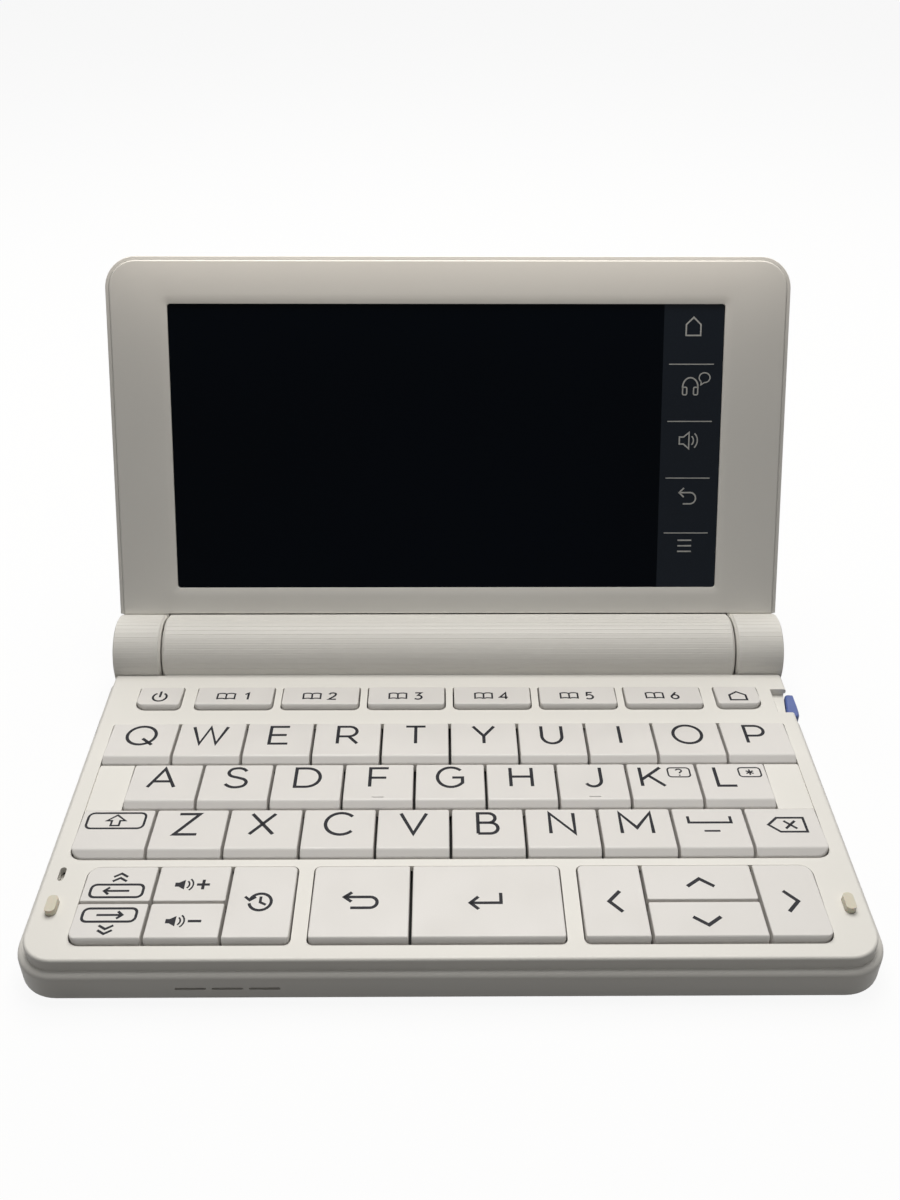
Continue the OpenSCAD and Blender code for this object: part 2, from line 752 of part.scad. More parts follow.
module key_holes() {
    block_half = 5 * key_pitch - half_gap;
    block_rear = letters_y + 3 * row_pitch - key_gap;
    filler = 4.5 * key_pitch - half_gap + key_clear;
    filler_low = letters_y + row_pitch - key_gap + key_clear;
    filler_high = letters_y + 2 * row_pitch - key_clear;
    for (k = [for (k = KEYS) if (k[3] >= upper_y) k])
        key_hole(k[1], k[2], k[3], k[4], k[6]);
    difference() {
        key_hole(-block_half, block_half, letters_y, block_rear, [group_corner_r, group_corner_r, s, s]);
        for (side = [-1, 1])
            translate([side > 0 ? filler : -filler - case_w, filler_low, 0])
                cube([case_w, filler_high - filler_low, 2 * plate_z]);
    }
    for (g = [[LEFT_GROUP, [e, n, e, n]], [MIDDLE_GROUP, [n, n, n, n]], [RIGHT_GROUP, [n, e, n, e]]])
        key_hole(g[0][0] + half_gap, g[0][len(g[0]) - 1] - half_gap, lower_y, lower_rear, g[1]);
    line_end = block_half + key_clear - 0.02;
    for (side = [-1, 1])
        translate([side > 0 ? line_end - line_w : -line_end, filler_low - 0.1, plate_z - line_depth])
            cube([line_w, filler_high - filler_low + 0.2, 1]);
}

module lid_stop_plans(gap) {
    for (side = [-1, 1])
        translate([side * stop_x, stop_y])
            outline(-stop_w / 2 - gap, stop_w / 2 + gap, -stop_len / 2 - gap, stop_len / 2 + gap,
                [for (i = [0:3]) 0.8 + gap]);
}

module battery_cover() {
    color(shell_color)
        in_case()
            difference() {
                intersection() {
                    barrel_solid(cover_half);
                    translate([0, hinge_y, hinge_z])
                        along_x(-cover_half, cover_half)
                            barrel_wedge(-cover_low_angle, -cover_top_angle);
                }
                barrel_bore(cell_bay_r, case_w);
            }
}

// ---------------------------------------------------------------- lid

// The lid's near edge with bevelled corners, and the part between them that reaches down to the barrel
module lid_near_cut() {
    low = lid_back / 2;
    past = 10;
    wide = lid_half + past;
    linear_extrude(4 * lid_back, center = true)
        polygon([[-wide, lid_near + wide - barrel_end], [-barrel_end, lid_near], [-barrel_end, low],
            [barrel_end, low], [barrel_end, lid_near], [wide, lid_near + wide - barrel_end],
            [wide, 2 * lid_reach], [-wide, 2 * lid_reach]]);
}

module turn_space(half) {
    translate([-half, 0, 0])
        rotate([0, 90, 0])
            cylinder(h = 2 * half, r = clear_r);
}

module lid_front_frame() {
    cavity_half = lid_cavity_half - lid_rim_w;
    far_r = frame_corner_r - lid_wall;
    color(shell_color)
        in_lid() {
            difference() {
                intersection() {
                    translate([0, 0, lid_seam])
                        soft_slab(-frame_half, frame_half, -frame_reach, frame_reach, frame_t,
                            [for (i = [0:3]) frame_corner_r], face_edge_r);
                    lid_near_cut();
                }
                turn_space(barrel_half + end_gap / 2);
                translate([0, 0, lid_seam - 1])
                    linear_extrude(lid_inner - lid_seam + 1)
                        outline(-cavity_half, cavity_half, lid_cavity_near, lid_cavity_far - lid_rim_w,
                            [1, 1, far_r, far_r]);
                screen_recess();
                face_crease();
                end_bores();
            }
            for (side = [-1, 1])
                end_barrel(side);
        }
}

// A fine groove where the face meets an end barrel
module face_crease() {
    foot_y = sqrt(barrel_r * barrel_r - face_drop * face_drop);
    near = end_barrel_near - end_gap;
    for (side = [-1, 1])
        translate([side > 0 ? near : -case_w, foot_y, lid_face - crease])
            cube([case_w - near, crease, 1]);
}

// A sloped frame down to the window, and the window itself
module screen_recess() {
    window = [for (i = [0:3]) 0.7];
    translate([screen_x, 0, lid_inner - tiny])
        linear_extrude(recess_depth + window_lip)
            outline(-window_half, window_half, window_near, window_far, window);
    hull($fn = 24) {
        translate([screen_x, 0, lid_face])
            linear_extrude(1)
                outline(-recess_half, recess_half, recess_near, recess_far, [for (i = [0:3]) 2]);
        translate([screen_x, 0, lid_face - recess_depth])
            linear_extrude(1)
                outline(-window_half, window_half, window_near, window_far, window);
    }
}

module end_bores() {
    for (side = [-1, 1])
        translate([side > 0 ? end_barrel_near - tiny : -end_barrel_near - end_bore_depth, 0, 0])
            rotate([0, 90, 0])
                cylinder(h = end_bore_depth + tiny, r = barrel_r - 0.4);
}

// An end barrel: a ribbed cup with a boss that turns on the hinge pin, and small bevels at its ends
module end_barrel(side) {
    length = barrel_end - end_barrel_near;
    over = barrel_r + 0.3;
    mirror([side > 0 ? 0 : 1, 0, 0])
        difference() {
            intersection() {
                along_x(end_barrel_near, barrel_end)
                    ribbed_section(barrel_r);
                translate([end_barrel_near, 0, 0])
                    rotate([0, 90, 0])
                        rotate_extrude()
                            polygon([[0, 0], [barrel_r - seam_bevel, 0], [barrel_r + air, seam_bevel],
                                [over, 2 * seam_bevel], [over, length - 0.5],
                                [barrel_r - 0.15, length - 0.12],
                                [barrel_r - 0.5, length + 0.1], [0, length + 0.1]]);
            }
            translate([end_barrel_near - 1, 0, 0])
                rotate([0, 90, 0]) {
                    cylinder(h = end_bore_depth + 1, r = pin_r + pin_fit);
                    difference() {
                        cylinder(h = end_bore_depth + 1, r = end_pocket[1]);
                        translate([0, 0, -1])
                            cylinder(h = end_bore_depth + 3, r = end_pocket[0]);
                    }
                }
        }
}

// The back half of the lid, with a rim that stands up around the front frame
module lid_back_cover() {
    depth = lid_back + lid_seam - air;
    far_r = lid_corner_r - lid_wall;
    radii = [for (i = [0:3]) lid_corner_r];
    color(shell_color)
        in_lid()
            difference() {
                intersection() {
                    translate([0, 0, lid_seam - air])
                        union() {
                            mirror([0, 0, 1])
                                soft_slab(-lid_half, lid_half, -lid_reach, lid_reach, depth, radii,
                                    back_edge_r);
                            translate([0, 0, -tiny])
                                soft_slab(-lid_half, lid_half, -lid_reach, lid_reach,
                                    frame_t + air + tiny - lid_rim_drop, radii, face_edge_r / 2);
                        }
                    lid_near_cut();
                }
                translate([0, 0, lid_seam - air])
                    linear_extrude(lid_back)
                        outline(-frame_half - air, frame_half + air, -lid_reach, frame_reach + air,
                            [for (i = [0:3]) frame_corner_r + air]);
                turn_space(lid_w);
                translate([0, 0, lid_wall - lid_back])
                    linear_extrude(lid_back)
                        outline(-lid_cavity_half, lid_cavity_half, lid_cavity_near, lid_cavity_far,
                            [1, 1, far_r, far_r]);
            }
}

// Touch panel, display and the flat cable that runs from it to the hinge
module display_module() {
    panel_half = window_half + panel_lap;
    panel_near = window_near - panel_lap;
    panel_far = window_far + panel_lap;
    panel_face = lid_inner - air;
    tail_w = 10;
    tail_x = 7.3 - barrel_half;
    color("#0B0D14")
        in_lid() {
            translate([screen_x, 0, panel_face - panel_t])
                linear_extrude(panel_t)
                    outline(-panel_half, panel_half, panel_near, panel_far, [for (i = [0:3]) 0.6]);
            translate([screen_x, 0, panel_face - panel_t - display_t])
                linear_extrude(display_t + tiny)
                    outline(-panel_half + 1, panel_half - 1, panel_near + 1, panel_far - 1,
                        [for (i = [0:3]) 0.6]);
            translate([tail_x, lid_cavity_near + 0.3, panel_face - panel_t - 1])
                cube([tail_w, panel_near + 1.1 - lid_cavity_near, 0.3]);
        }
}

module hinge_units() {
    pin_far = end_barrel_near + end_bore_depth - 0.3;
    color("#8C8F94")
        in_case()
            for (side = [-1, 1])
                translate([0, hinge_y, hinge_z])
                    mirror([side > 0 ? 0 : 1, 0, 0])
                        rotate([0, 90, 0]) {
                            translate([0, 0, hinge_near])
                                cylinder(h = hinge_len, r = cell_bay_r - 0.2);
                            translate([0, 0, hinge_near])
                                cylinder(h = pin_far - hinge_near, r = pin_r);
                        }
}

// ---------------------------------------------------------------- keys

// Height of the lower keys' tops, on one plane that goes on over two keys one behind the other
function lower_height(y) = key_top
    - (key_top - plate_z - key_rear_rise) * (y - lower_y - lower_slope) / (lower_len - lower_slope);

// A key: its top rises towards the user and slopes down at the front, over a hollow foot with a stem
module key(k) {
    front = k[3];
    rear = k[4];
    behind = front > lower_y && rear <= lower_rear;
    front_top = behind ? lower_height(front) : key_top;
    front_low = behind ? front_top - pair_edge : plate_z + 0.1;
    slope = behind ? pair_edge : k[5];
    rear_top = rear < lower_rear ? lower_height(rear) : plate_z + key_rear_rise;
    wall = 1;
    roof = plate_z - 0.6;
    color(key_color)
        in_case()
            difference() {
                intersection() {
                    translate([0, 0, key_foot])
                        linear_extrude(key_top)
                            outline(k[1], k[2], front, rear, k[6]);
                    along_x(k[1] - 1, k[2] + 1)
                        polygon([[front, key_foot], [front, front_low], [front + slope, front_top],
                            [rear, rear_top], [rear, key_foot]]);
                }
                difference() {
                    translate([k[1] + wall, front + wall, key_foot - tiny])
                        cube([k[2] - k[1] - 2 * wall, rear - front - 2 * wall, roof - key_foot]);
                    translate([(k[1] + k[2]) / 2, (front + rear) / 2, key_foot - 1])
                        cylinder(h = plate_z, r = 1.5);
                }
            }
}

module key_dome_sheet() {
    half = board_half;
    color("#E6E3D8")
        in_case() {
            difference() {
                union() {
                    translate([0, 0, sheet_z])
                        linear_extrude(sheet_t)
                            outline(-half, half, lower_y - 1, board_rear, [for (i = [0:3]) 2]);
                    for (k = KEYS)
                        translate([(k[1] + k[2]) / 2, (k[3] + k[4]) / 2, sheet_z + sheet_t - tiny])
                            cylinder(h = dome_top - sheet_z - sheet_t + tiny, r1 = 2.9, r2 = 1.6);
                }
                boss_holes(0.3);
                phone_socket_space(plate_z);
            }
            translate([0, 0, plate_z - stop_seat + tiny])
                linear_extrude(stop_top - plate_z + stop_seat - tiny)
                    lid_stop_plans(0);
        }
}

// ---------------------------------------------------------------- inside

module phone_socket_space(top) {
    translate([-case_w, row_space_y - phone_block[1] / 2 - 0.3, 0])
        cube([case_w + phone_face + phone_block[0] + 0.3, phone_block[1] + 0.6, top]);
}

// The board with its chips, sockets, loudspeaker, microphone and battery contacts
module main_board() {
    speaker = [18, 7.5, board_z + board_t - floor_z - 0.1];
    speaker_x = (SOUND_SLOTS[0][0] + SOUND_SLOTS[2][1]) / 2;
    color("#2E6B4A")
        in_case() {
            difference() {
                translate([0, 0, board_z])
                    linear_extrude(board_t - tiny)
                        outline(-board_half, board_half, board_front, board_rear, [for (i = [0:3]) 2]);
                boss_holes(0.3);
                phone_socket_space(plate_z);
                translate([speaker_x - speaker[0] / 2 - 0.3, 0, 0])
                    cube([speaker[0] + 0.6, board_front + speaker[1] + 0.3, plate_z]);
            }
            for (c = CHIPS)
                translate([c[0] * board_half, board_front + c[1] * (board_rear - board_front),
                    board_z - c[4]])
                    cube([c[2], c[3], c[4] + tiny]);
            translate([speaker_x - speaker[0] / 2, board_front - 0.6, floor_z + air])
                cube(speaker);
            translate([slot_x, slot_y, plate_low - 1.6])
                cylinder(h = 1.5, r = 1.3);
            difference() {
                translate([phone_face, row_space_y - phone_block[1] / 2, phone_z - phone_block[2] / 2])
                    cube(phone_block);
                translate([phone_face - 1, row_space_y, phone_z])
                    rotate([0, 90, 0])
                        cylinder(h = phone_depth + 1, r = phone_r);
            }
            usb_socket();
            translate([socket_face, card_y - card_block[1] / 2, floor_z + 0.1])
                cube(card_block);
            battery_contacts();
        }
}

module usb_socket() {
    shell = 0.35;
    translate([socket_face, usb_y - usb_block[1] / 2, floor_z + 0.15])
        difference() {
            cube(usb_block);
            translate([-1, shell, shell])
                cube([usb_block[0], usb_block[1] - 2 * shell, usb_block[2] - 2 * shell]);
        }
}

module battery_contacts() {
    translate([0, hinge_y, hinge_z])
        for (side = [-1, 1])
            mirror([side > 0 ? 0 : 1, 0, 0])
                rotate([0, 90, 0]) {
                    translate([0, 0, cover_half - 0.3])
                        cylinder(h = 0.4, r = cell_bay_r - 0.8);
                    translate([0, 0, cell_len + air])
                        cylinder(h = cover_half - 0.2 - cell_len - air, r1 = 2.2, r2 = side > 0 ? 2.6 : 4.5);
                }
}

module batteries() {
    nub = 1;
    color("#B9402E")
        in_case()
            translate([0, hinge_y, hinge_z])
                rotate([0, 90, 0])
                    for (start = [-cell_len, 0])
                        translate([0, 0, start + tiny]) {
                            cylinder(h = cell_len - nub, r = cell_r);
                            cylinder(h = cell_len - 2 * tiny, r = 2.7);
                        }
}

// The shaft with its nib, and the head, which is cut flush with the case's side
module stylus() {
    shaft_end = stylus_len - nib_len;
    color("#5A6BA8")
        in_case()
            along_stylus()
                translate([0, 0, stylus_z]) {
                    intersection() {
                        translate([0, -head_len, 0])
                            soft_slab(-head_w / 2, head_w / 2, 0, head_len, head_h,
                                [for (i = [0:3]) head_w / 3], head_w / 5);
                        rotate(stylus_yaw)
                            translate([-case_w, -case_rear, -1])
                                cube([1.5 * case_w - air - stylus_x, 2 * case_rear, 2 * head_h]);
                    }
                    translate([0, tiny - head_len + 1, stylus_h / 2])
                        rotate([90, 0, 0])
                            linear_extrude(shaft_end - head_len + 1)
                                outline(-stylus_w / 2, stylus_w / 2, -stylus_h / 2, stylus_h / 2,
                                    [for (i = [0:3]) stylus_w / 2 - air]);
                    translate([0, -shaft_end + tiny, stylus_h / 2])
                        rotate([90, 0, 0])
                            cylinder(h = nib_len, r1 = stylus_w / 2 - 0.1, r2 = 0.4);
                }
}

module screws() {
    color("#A9ABAE")
        in_case()
            for (p = SCREWS)
                translate([p[0], p[1], screw_low])
                    difference() {
                        union() {
                            cylinder(h = screw_head_t, r = screw_head_r);
                            cylinder(h = screw_end - screw_low, r = screw_r);
                        }
                        for (turn = [0, 90])
                            rotate(turn)
                                translate([-1.1, -0.2, -tiny])
                                    cube([2.2, 0.4, 0.6]);
                    }
}

bottom_case();
top_case();
battery_cover();
lid_front_frame();
lid_back_cover();
display_module();
hinge_units();
key_dome_sheet();
main_board();
batteries();
stylus();
screws();
for (k = KEYS)
    key(k);
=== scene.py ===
import math

import bmesh
import bpy
from mathutils import Matrix, Vector


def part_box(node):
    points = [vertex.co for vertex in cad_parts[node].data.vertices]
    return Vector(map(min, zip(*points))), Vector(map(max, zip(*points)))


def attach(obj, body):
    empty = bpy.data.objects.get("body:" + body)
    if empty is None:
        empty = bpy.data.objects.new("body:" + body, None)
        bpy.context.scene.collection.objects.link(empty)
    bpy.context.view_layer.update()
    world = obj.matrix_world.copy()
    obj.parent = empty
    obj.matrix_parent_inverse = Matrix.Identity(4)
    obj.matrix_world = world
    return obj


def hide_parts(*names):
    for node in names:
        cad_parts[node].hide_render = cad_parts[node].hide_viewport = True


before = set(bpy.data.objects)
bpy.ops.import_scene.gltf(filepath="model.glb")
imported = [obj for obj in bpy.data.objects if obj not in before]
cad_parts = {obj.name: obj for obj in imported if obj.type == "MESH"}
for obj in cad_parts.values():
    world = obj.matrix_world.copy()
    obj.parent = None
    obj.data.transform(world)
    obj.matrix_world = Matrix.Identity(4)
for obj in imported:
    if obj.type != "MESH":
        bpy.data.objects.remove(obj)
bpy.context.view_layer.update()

scene = bpy.context.scene

# ---- Lower case -----------------------------------------------------------------------------
# The tray that holds the electronics, with the lower half of the battery barrel in one piece.
# Injection-moulded ABS with a fine eroded texture, sprayed with a warm white satin paint. The
# plate above it is pressed in, and six screws from below hold the two together.

MM = 0.001
FOOT_HEIGHT = 0.4
NEAR = 0.01  # how close in mm a face counts as being at a level
WELD = 0.002  # points closer than this, in mm, become one
FLAT_TURN = 0.2  # degrees up to which neighbouring faces count as one flat area
WIDE_FACE = 1.4  # width in mm from which a face counts as wide
CRISP_TURN, SOFT_TURN = 8, 32  # degrees from which an edge shows, between two wide faces and elsewhere


def linear(colour):
    """An sRGB hex colour as the linear RGBA that shaders take."""
    parts = [int(colour[i:i + 2], 16) / 255 for i in (1, 3, 5)]
    return [c / 12.92 if c <= 0.04045 else ((c + 0.055) / 1.055) ** 2.4 for c in parts] + [1.0]


def add(tree, kind, inputs=None, **settings):
    """Adds one shader node with its settings, and links or sets its inputs."""
    made = tree.nodes.new(kind)
    for name, value in settings.items():
        setattr(made, name, value)
    for name, value in (inputs or {}).items():
        if isinstance(value, bpy.types.NodeSocket):
            tree.links.new(value, made.inputs[name])
        else:
            made.inputs[name].default_value = value
    return made


def finish(name, surface):
    """A material whose shader surface() builds from the places on the piece, in metres."""
    material = bpy.data.materials.new(name)
    material.use_nodes = True
    tree = material.node_tree
    tree.nodes.clear()
    shader = surface(tree, add(tree, "ShaderNodeTexCoord").outputs["Object"])
    add(tree, "ShaderNodeOutputMaterial", {"Surface": shader.outputs[0]})
    return material


def painted_abs(tree, place):
    # Satin paint over a spark-eroded mould texture. The grain is about 0.1 mm on the real case
    # and is drawn at 0.25 mm, the finest that shows, and the tone drifts a little over 40 mm.
    drift = add(tree, "ShaderNodeTexNoise", {"Vector": place, "Scale": 1 / (40 * MM), "Detail": 2.0})
    tone = add(tree, "ShaderNodeMix", {
        "Factor": drift.outputs["Fac"], "A": linear("#E2DFD9"), "B": linear("#E7E5DF")}, data_type="RGBA")
    grain = add(tree, "ShaderNodeTexNoise", {"Vector": place, "Scale": 1 / (0.25 * MM), "Detail": 3.0})
    gloss = add(tree, "ShaderNodeMapRange", {"Value": grain.outputs["Fac"], "To Min": 0.42, "To Max": 0.56})
    bump = add(tree, "ShaderNodeBump", {
        "Height": grain.outputs["Fac"], "Strength": 0.25, "Distance": 0.02 * MM})
    return add(tree, "ShaderNodeBsdfPrincipled", {
        "Base Color": tone.outputs["Result"], "Roughness": gloss.outputs["Result"], "IOR": 1.52,
        "Normal": bump.outputs["Normal"]})


SHELL = finish("abs_painted_warm_white", painted_abs)


def cleaned(node):
    """A copy of a CAD node's mesh with flat areas as single faces and smooth shading over its curves.
    A face's width is that of a long strip with the same area and outline length."""
    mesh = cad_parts[node].data.copy()
    mesh.materials.clear()
    shape = bmesh.new()
    shape.from_mesh(mesh)
    bmesh.ops.remove_doubles(shape, verts=shape.verts, dist=WELD * MM)
    bmesh.ops.dissolve_limit(
        shape, angle_limit=math.radians(FLAT_TURN), verts=shape.verts, edges=shape.edges)
    for face in shape.faces:
        face.smooth = True
    for edge in shape.edges:
        wide = all(face.calc_area() > WIDE_FACE / 2 * MM * face.calc_perimeter() for face in edge.link_faces)
        edge.smooth = edge.calc_face_angle() < math.radians(CRISP_TURN if wide else SOFT_TURN)
    shape.to_mesh(mesh)
    shape.free()
    return mesh


def show(name, mesh, body, materials, node):
    """Puts a piece in the scene on its body, in place of a CAD node."""
    piece = bpy.data.objects.new(name, mesh)
    scene.collection.objects.link(piece)
    for material in materials:
        mesh.materials.append(material)
    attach(piece, body)
    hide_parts(node)
    return piece


def even_faces(piece):
    """Shades flat faces flat and lets the narrow ones beside them take up the turn."""
    piece.modifiers.new("even_faces", "WEIGHTED_NORMAL").keep_sharp = True


def break_edges(piece, width, segments=2):
    """Takes the sharpness off a moulding's edges that turn by 60 degrees or more, width in mm."""
    bevel = piece.modifiers.new("broken_edges", "BEVEL")
    bevel.width = width * MM
    bevel.segments = segments
    bevel.limit_method = "ANGLE"
    bevel.angle_limit = math.radians(60)
    even_faces(piece)


def foot_rubber(tree, place):
    # Moulded rubber of the feet: dull grey, with a 0.4 mm speckle of dust.
    dust = add(tree, "ShaderNodeTexNoise", {"Vector": place, "Scale": 1 / (0.4 * MM), "Detail": 2.0})
    tone = add(tree, "ShaderNodeMix", {
        "Factor": dust.outputs["Fac"], "A": linear("#8D8A86"), "B": linear("#A5A29D")}, data_type="RGBA")
    return add(tree, "ShaderNodeBsdfPrincipled", {
        "Base Color": tone.outputs["Result"], "Roughness": 0.8, "IOR": 1.5})


RUBBER = finish("moulded_rubber_grey", foot_rubber)
tray = cleaned("bottom_case")
for face in tray.polygons:
    if face.center.z < (FOOT_HEIGHT - NEAR) * MM:
        face.material_index = 1
break_edges(show("lower_case", tray, "base", [SHELL, RUBBER], "bottom_case"), 0.12)

# ---- Keyboard plate -------------------------------------------------------------------------
# The top of the case with the key openings, in one piece with the upper half of the ribbed
# barrel. The same painted ABS as the tray. Its outer edge steps in from the tray's rim.

break_edges(show("keyboard_plate", cleaned("top_case"), "base", [SHELL], "top_case"), 0.1)

# ---- Keys -----------------------------------------------------------------------------------
# One ABS cap a key, moulded in a slightly cooler white than the case. Each rises towards its
# front, where it slopes down again, and its legend is pad-printed in dark ink.

FRONT_Y = -66.6413  # the rim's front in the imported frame, where all lengths from the front start
PLATE_Z = 9.2
KEY_TOP, KEY_REAR, KEY_FOOT = 10.35, 9.6, 7.1
LOWER_FRONT, LOWER_REAR = 4.75, 22.5  # front and rear of the group of keys nearest the user
LETTER_SLOPE, OTHER_SLOPE = 1.5, 0.45
FRONT_STAND = 0.1  # height of the slope's foot over the plate
CREST = 0.35  # half width of the rounding between a key's slope and its top
EDGE_ROUND = 0.24  # radius of a cap's upper edges
LEAST_RADIUS = 0.08  # what the upper edge leaves of a corner's radius
SMALL_R = 0.4  # radius of the corners between two keys
INNER_R, UPPER_R, EDGE_R, GROUP_R = 1.0, 1.2, 2.2, 2.4  # radii of the rounder corners
INK_THICKNESS = 0.03


def key_abs(tree, place):
    # Bare ABS, finer in grain than the painted case and a little glossier where fingers rub it.
    grain = add(tree, "ShaderNodeTexNoise", {"Vector": place, "Scale": 1 / (0.2 * MM), "Detail": 2.0})
    rubbed = add(tree, "ShaderNodeTexNoise", {"Vector": place, "Scale": 1 / (9 * MM), "Detail": 1.0})
    gloss = add(tree, "ShaderNodeMapRange", {
        "Value": rubbed.outputs["Fac"], "From Min": 0.3, "From Max": 0.7, "To Min": 0.36, "To Max": 0.5})
    tone = add(tree, "ShaderNodeMix", {
        "Factor": rubbed.outputs["Fac"], "A": linear("#DCD9D6"), "B": linear("#DFDCD8")}, data_type="RGBA")
    bump = add(tree, "ShaderNodeBump", {
        "Height": grain.outputs["Fac"], "Strength": 0.2, "Distance": 0.015 * MM})
    return add(tree, "ShaderNodeBsdfPrincipled", {
        "Base Color": tone.outputs["Result"], "Roughness": gloss.outputs["Result"], "IOR": 1.54,
        "Normal": bump.outputs["Normal"]})


def legend_ink(tree, place):
    # Pad-printing ink: an even dark grey film, matt, with the slightest change of tone from wear.
    wear = add(tree, "ShaderNodeTexNoise", {"Vector": place, "Scale": 1 / (1.5 * MM), "Detail": 2.0})
    tone = add(tree, "ShaderNodeMix", {
        "Factor": wear.outputs["Fac"], "A": linear("#17171D"), "B": linear("#202027")}, data_type="RGBA")
    return add(tree, "ShaderNodeBsdfPrincipled", {
        "Base Color": tone.outputs["Result"], "Roughness": 0.55, "IOR": 1.5, "Specular IOR Level": 0.2})


KEY_ABS = finish("abs_key_white", key_abs)
INK = finish("pad_printing_ink", legend_ink)


def arc(x, y, across, up, start, end, steps=10):
    """Points on part of an ellipse, from one angle to another in degrees."""
    turn = [math.radians(start + (end - start) * i / steps) for i in range(steps + 1)]
    return [(x + across * math.cos(a), y + up * math.sin(a)) for a in turn]


def curve(points, steps=4):
    """A smooth line through given points."""
    line = []
    padded = [points[0]] + points + [points[-1]]
    for a, b, c, d in zip(padded, padded[1:], padded[2:], padded[3:]):
        for i in range(steps):
            t = i / steps
            line.append(tuple(0.5 * (2 * q + (r - p) * t + (2 * p - 5 * q + 4 * r - s) * t * t
                                     + (3 * q - p - 3 * r + s) * t ** 3) for p, q, r, s in zip(a, b, c, d)))
    return line + [points[-1]]


def box_line(x, y, wide, high, corner):
    """A closed box with round corners about a centre."""
    a, b = wide / 2 - corner, high / 2 - corner
    line = []
    for sx, sy, start in ((1, 1, 0), (-1, 1, 90), (-1, -1, 180), (1, -1, 270)):
        line += arc(x + sx * a, y + sy * b, corner, corner, start, start + 90, 4)
    return line + line[:1]


def lay_line(shape, points, width, place, ink=1):
    """A printed line of an even width, as a closed solid. place() puts x, y and height in space."""
    same, least_mitre, half = 1e-6, 0.45, INK_THICKNESS / 2
    points = points[:1] + [q for p, q in zip(points, points[1:]) if math.dist(p, q) > same]
    closed = math.dist(points[0], points[-1]) < same
    points = points[:-1] if closed else points
    count = len(points)
    rings = []
    for i, (x, y) in enumerate(points):
        before = Vector(points[i - 1]) if i or closed else None
        after = Vector(points[(i + 1) % count]) if i < count - 1 or closed else None
        here = Vector((x, y))
        ways = [(here - before).normalized()] if before is not None else []
        ways += [(after - here).normalized()] if after is not None else []
        way = sum(ways, Vector((0, 0))).normalized()
        side = Vector((-way.y, way.x)) * width / 2 / max(way.dot(ways[0]), least_mitre)
        rings.append([shape.verts.new(place(*(here + side * s), h))
                      for s, h in ((-1, half), (1, half), (1, -half), (-1, -half))])
    pairs = list(zip(rings, rings[1:])) + ([(rings[-1], rings[0])] if closed else [])
    faces = [shape.faces.new((a[i], b[i], b[(i + 1) % 4], a[(i + 1) % 4]))
             for a, b in pairs for i in range(4)]
    if not closed:
        faces += [shape.faces.new(rings[0]), shape.faces.new(rings[-1][::-1])]
    for face in faces:
        face.material_index = ink


def stack(shape, lower, upper):
    """Joins two rings of points by a wall of four-sided faces."""
    count = len(lower)
    return [shape.faces.new((lower[i], lower[(i + 1) % count], upper[(i + 1) % count], upper[i]))
            for i in range(count)]


def lay_patch(shape, points, place, ink=1):
    """A printed filled area, with the same thickness as the lines."""
    upper = [shape.verts.new(place(x, y, INK_THICKNESS / 2)) for x, y in points]
    lower = [shape.verts.new(place(x, y, -INK_THICKNESS / 2)) for x, y in points]
    faces = [shape.faces.new(upper), shape.faces.new(lower[::-1])] + stack(shape, lower, upper)
    for face in faces:
        face.material_index = ink


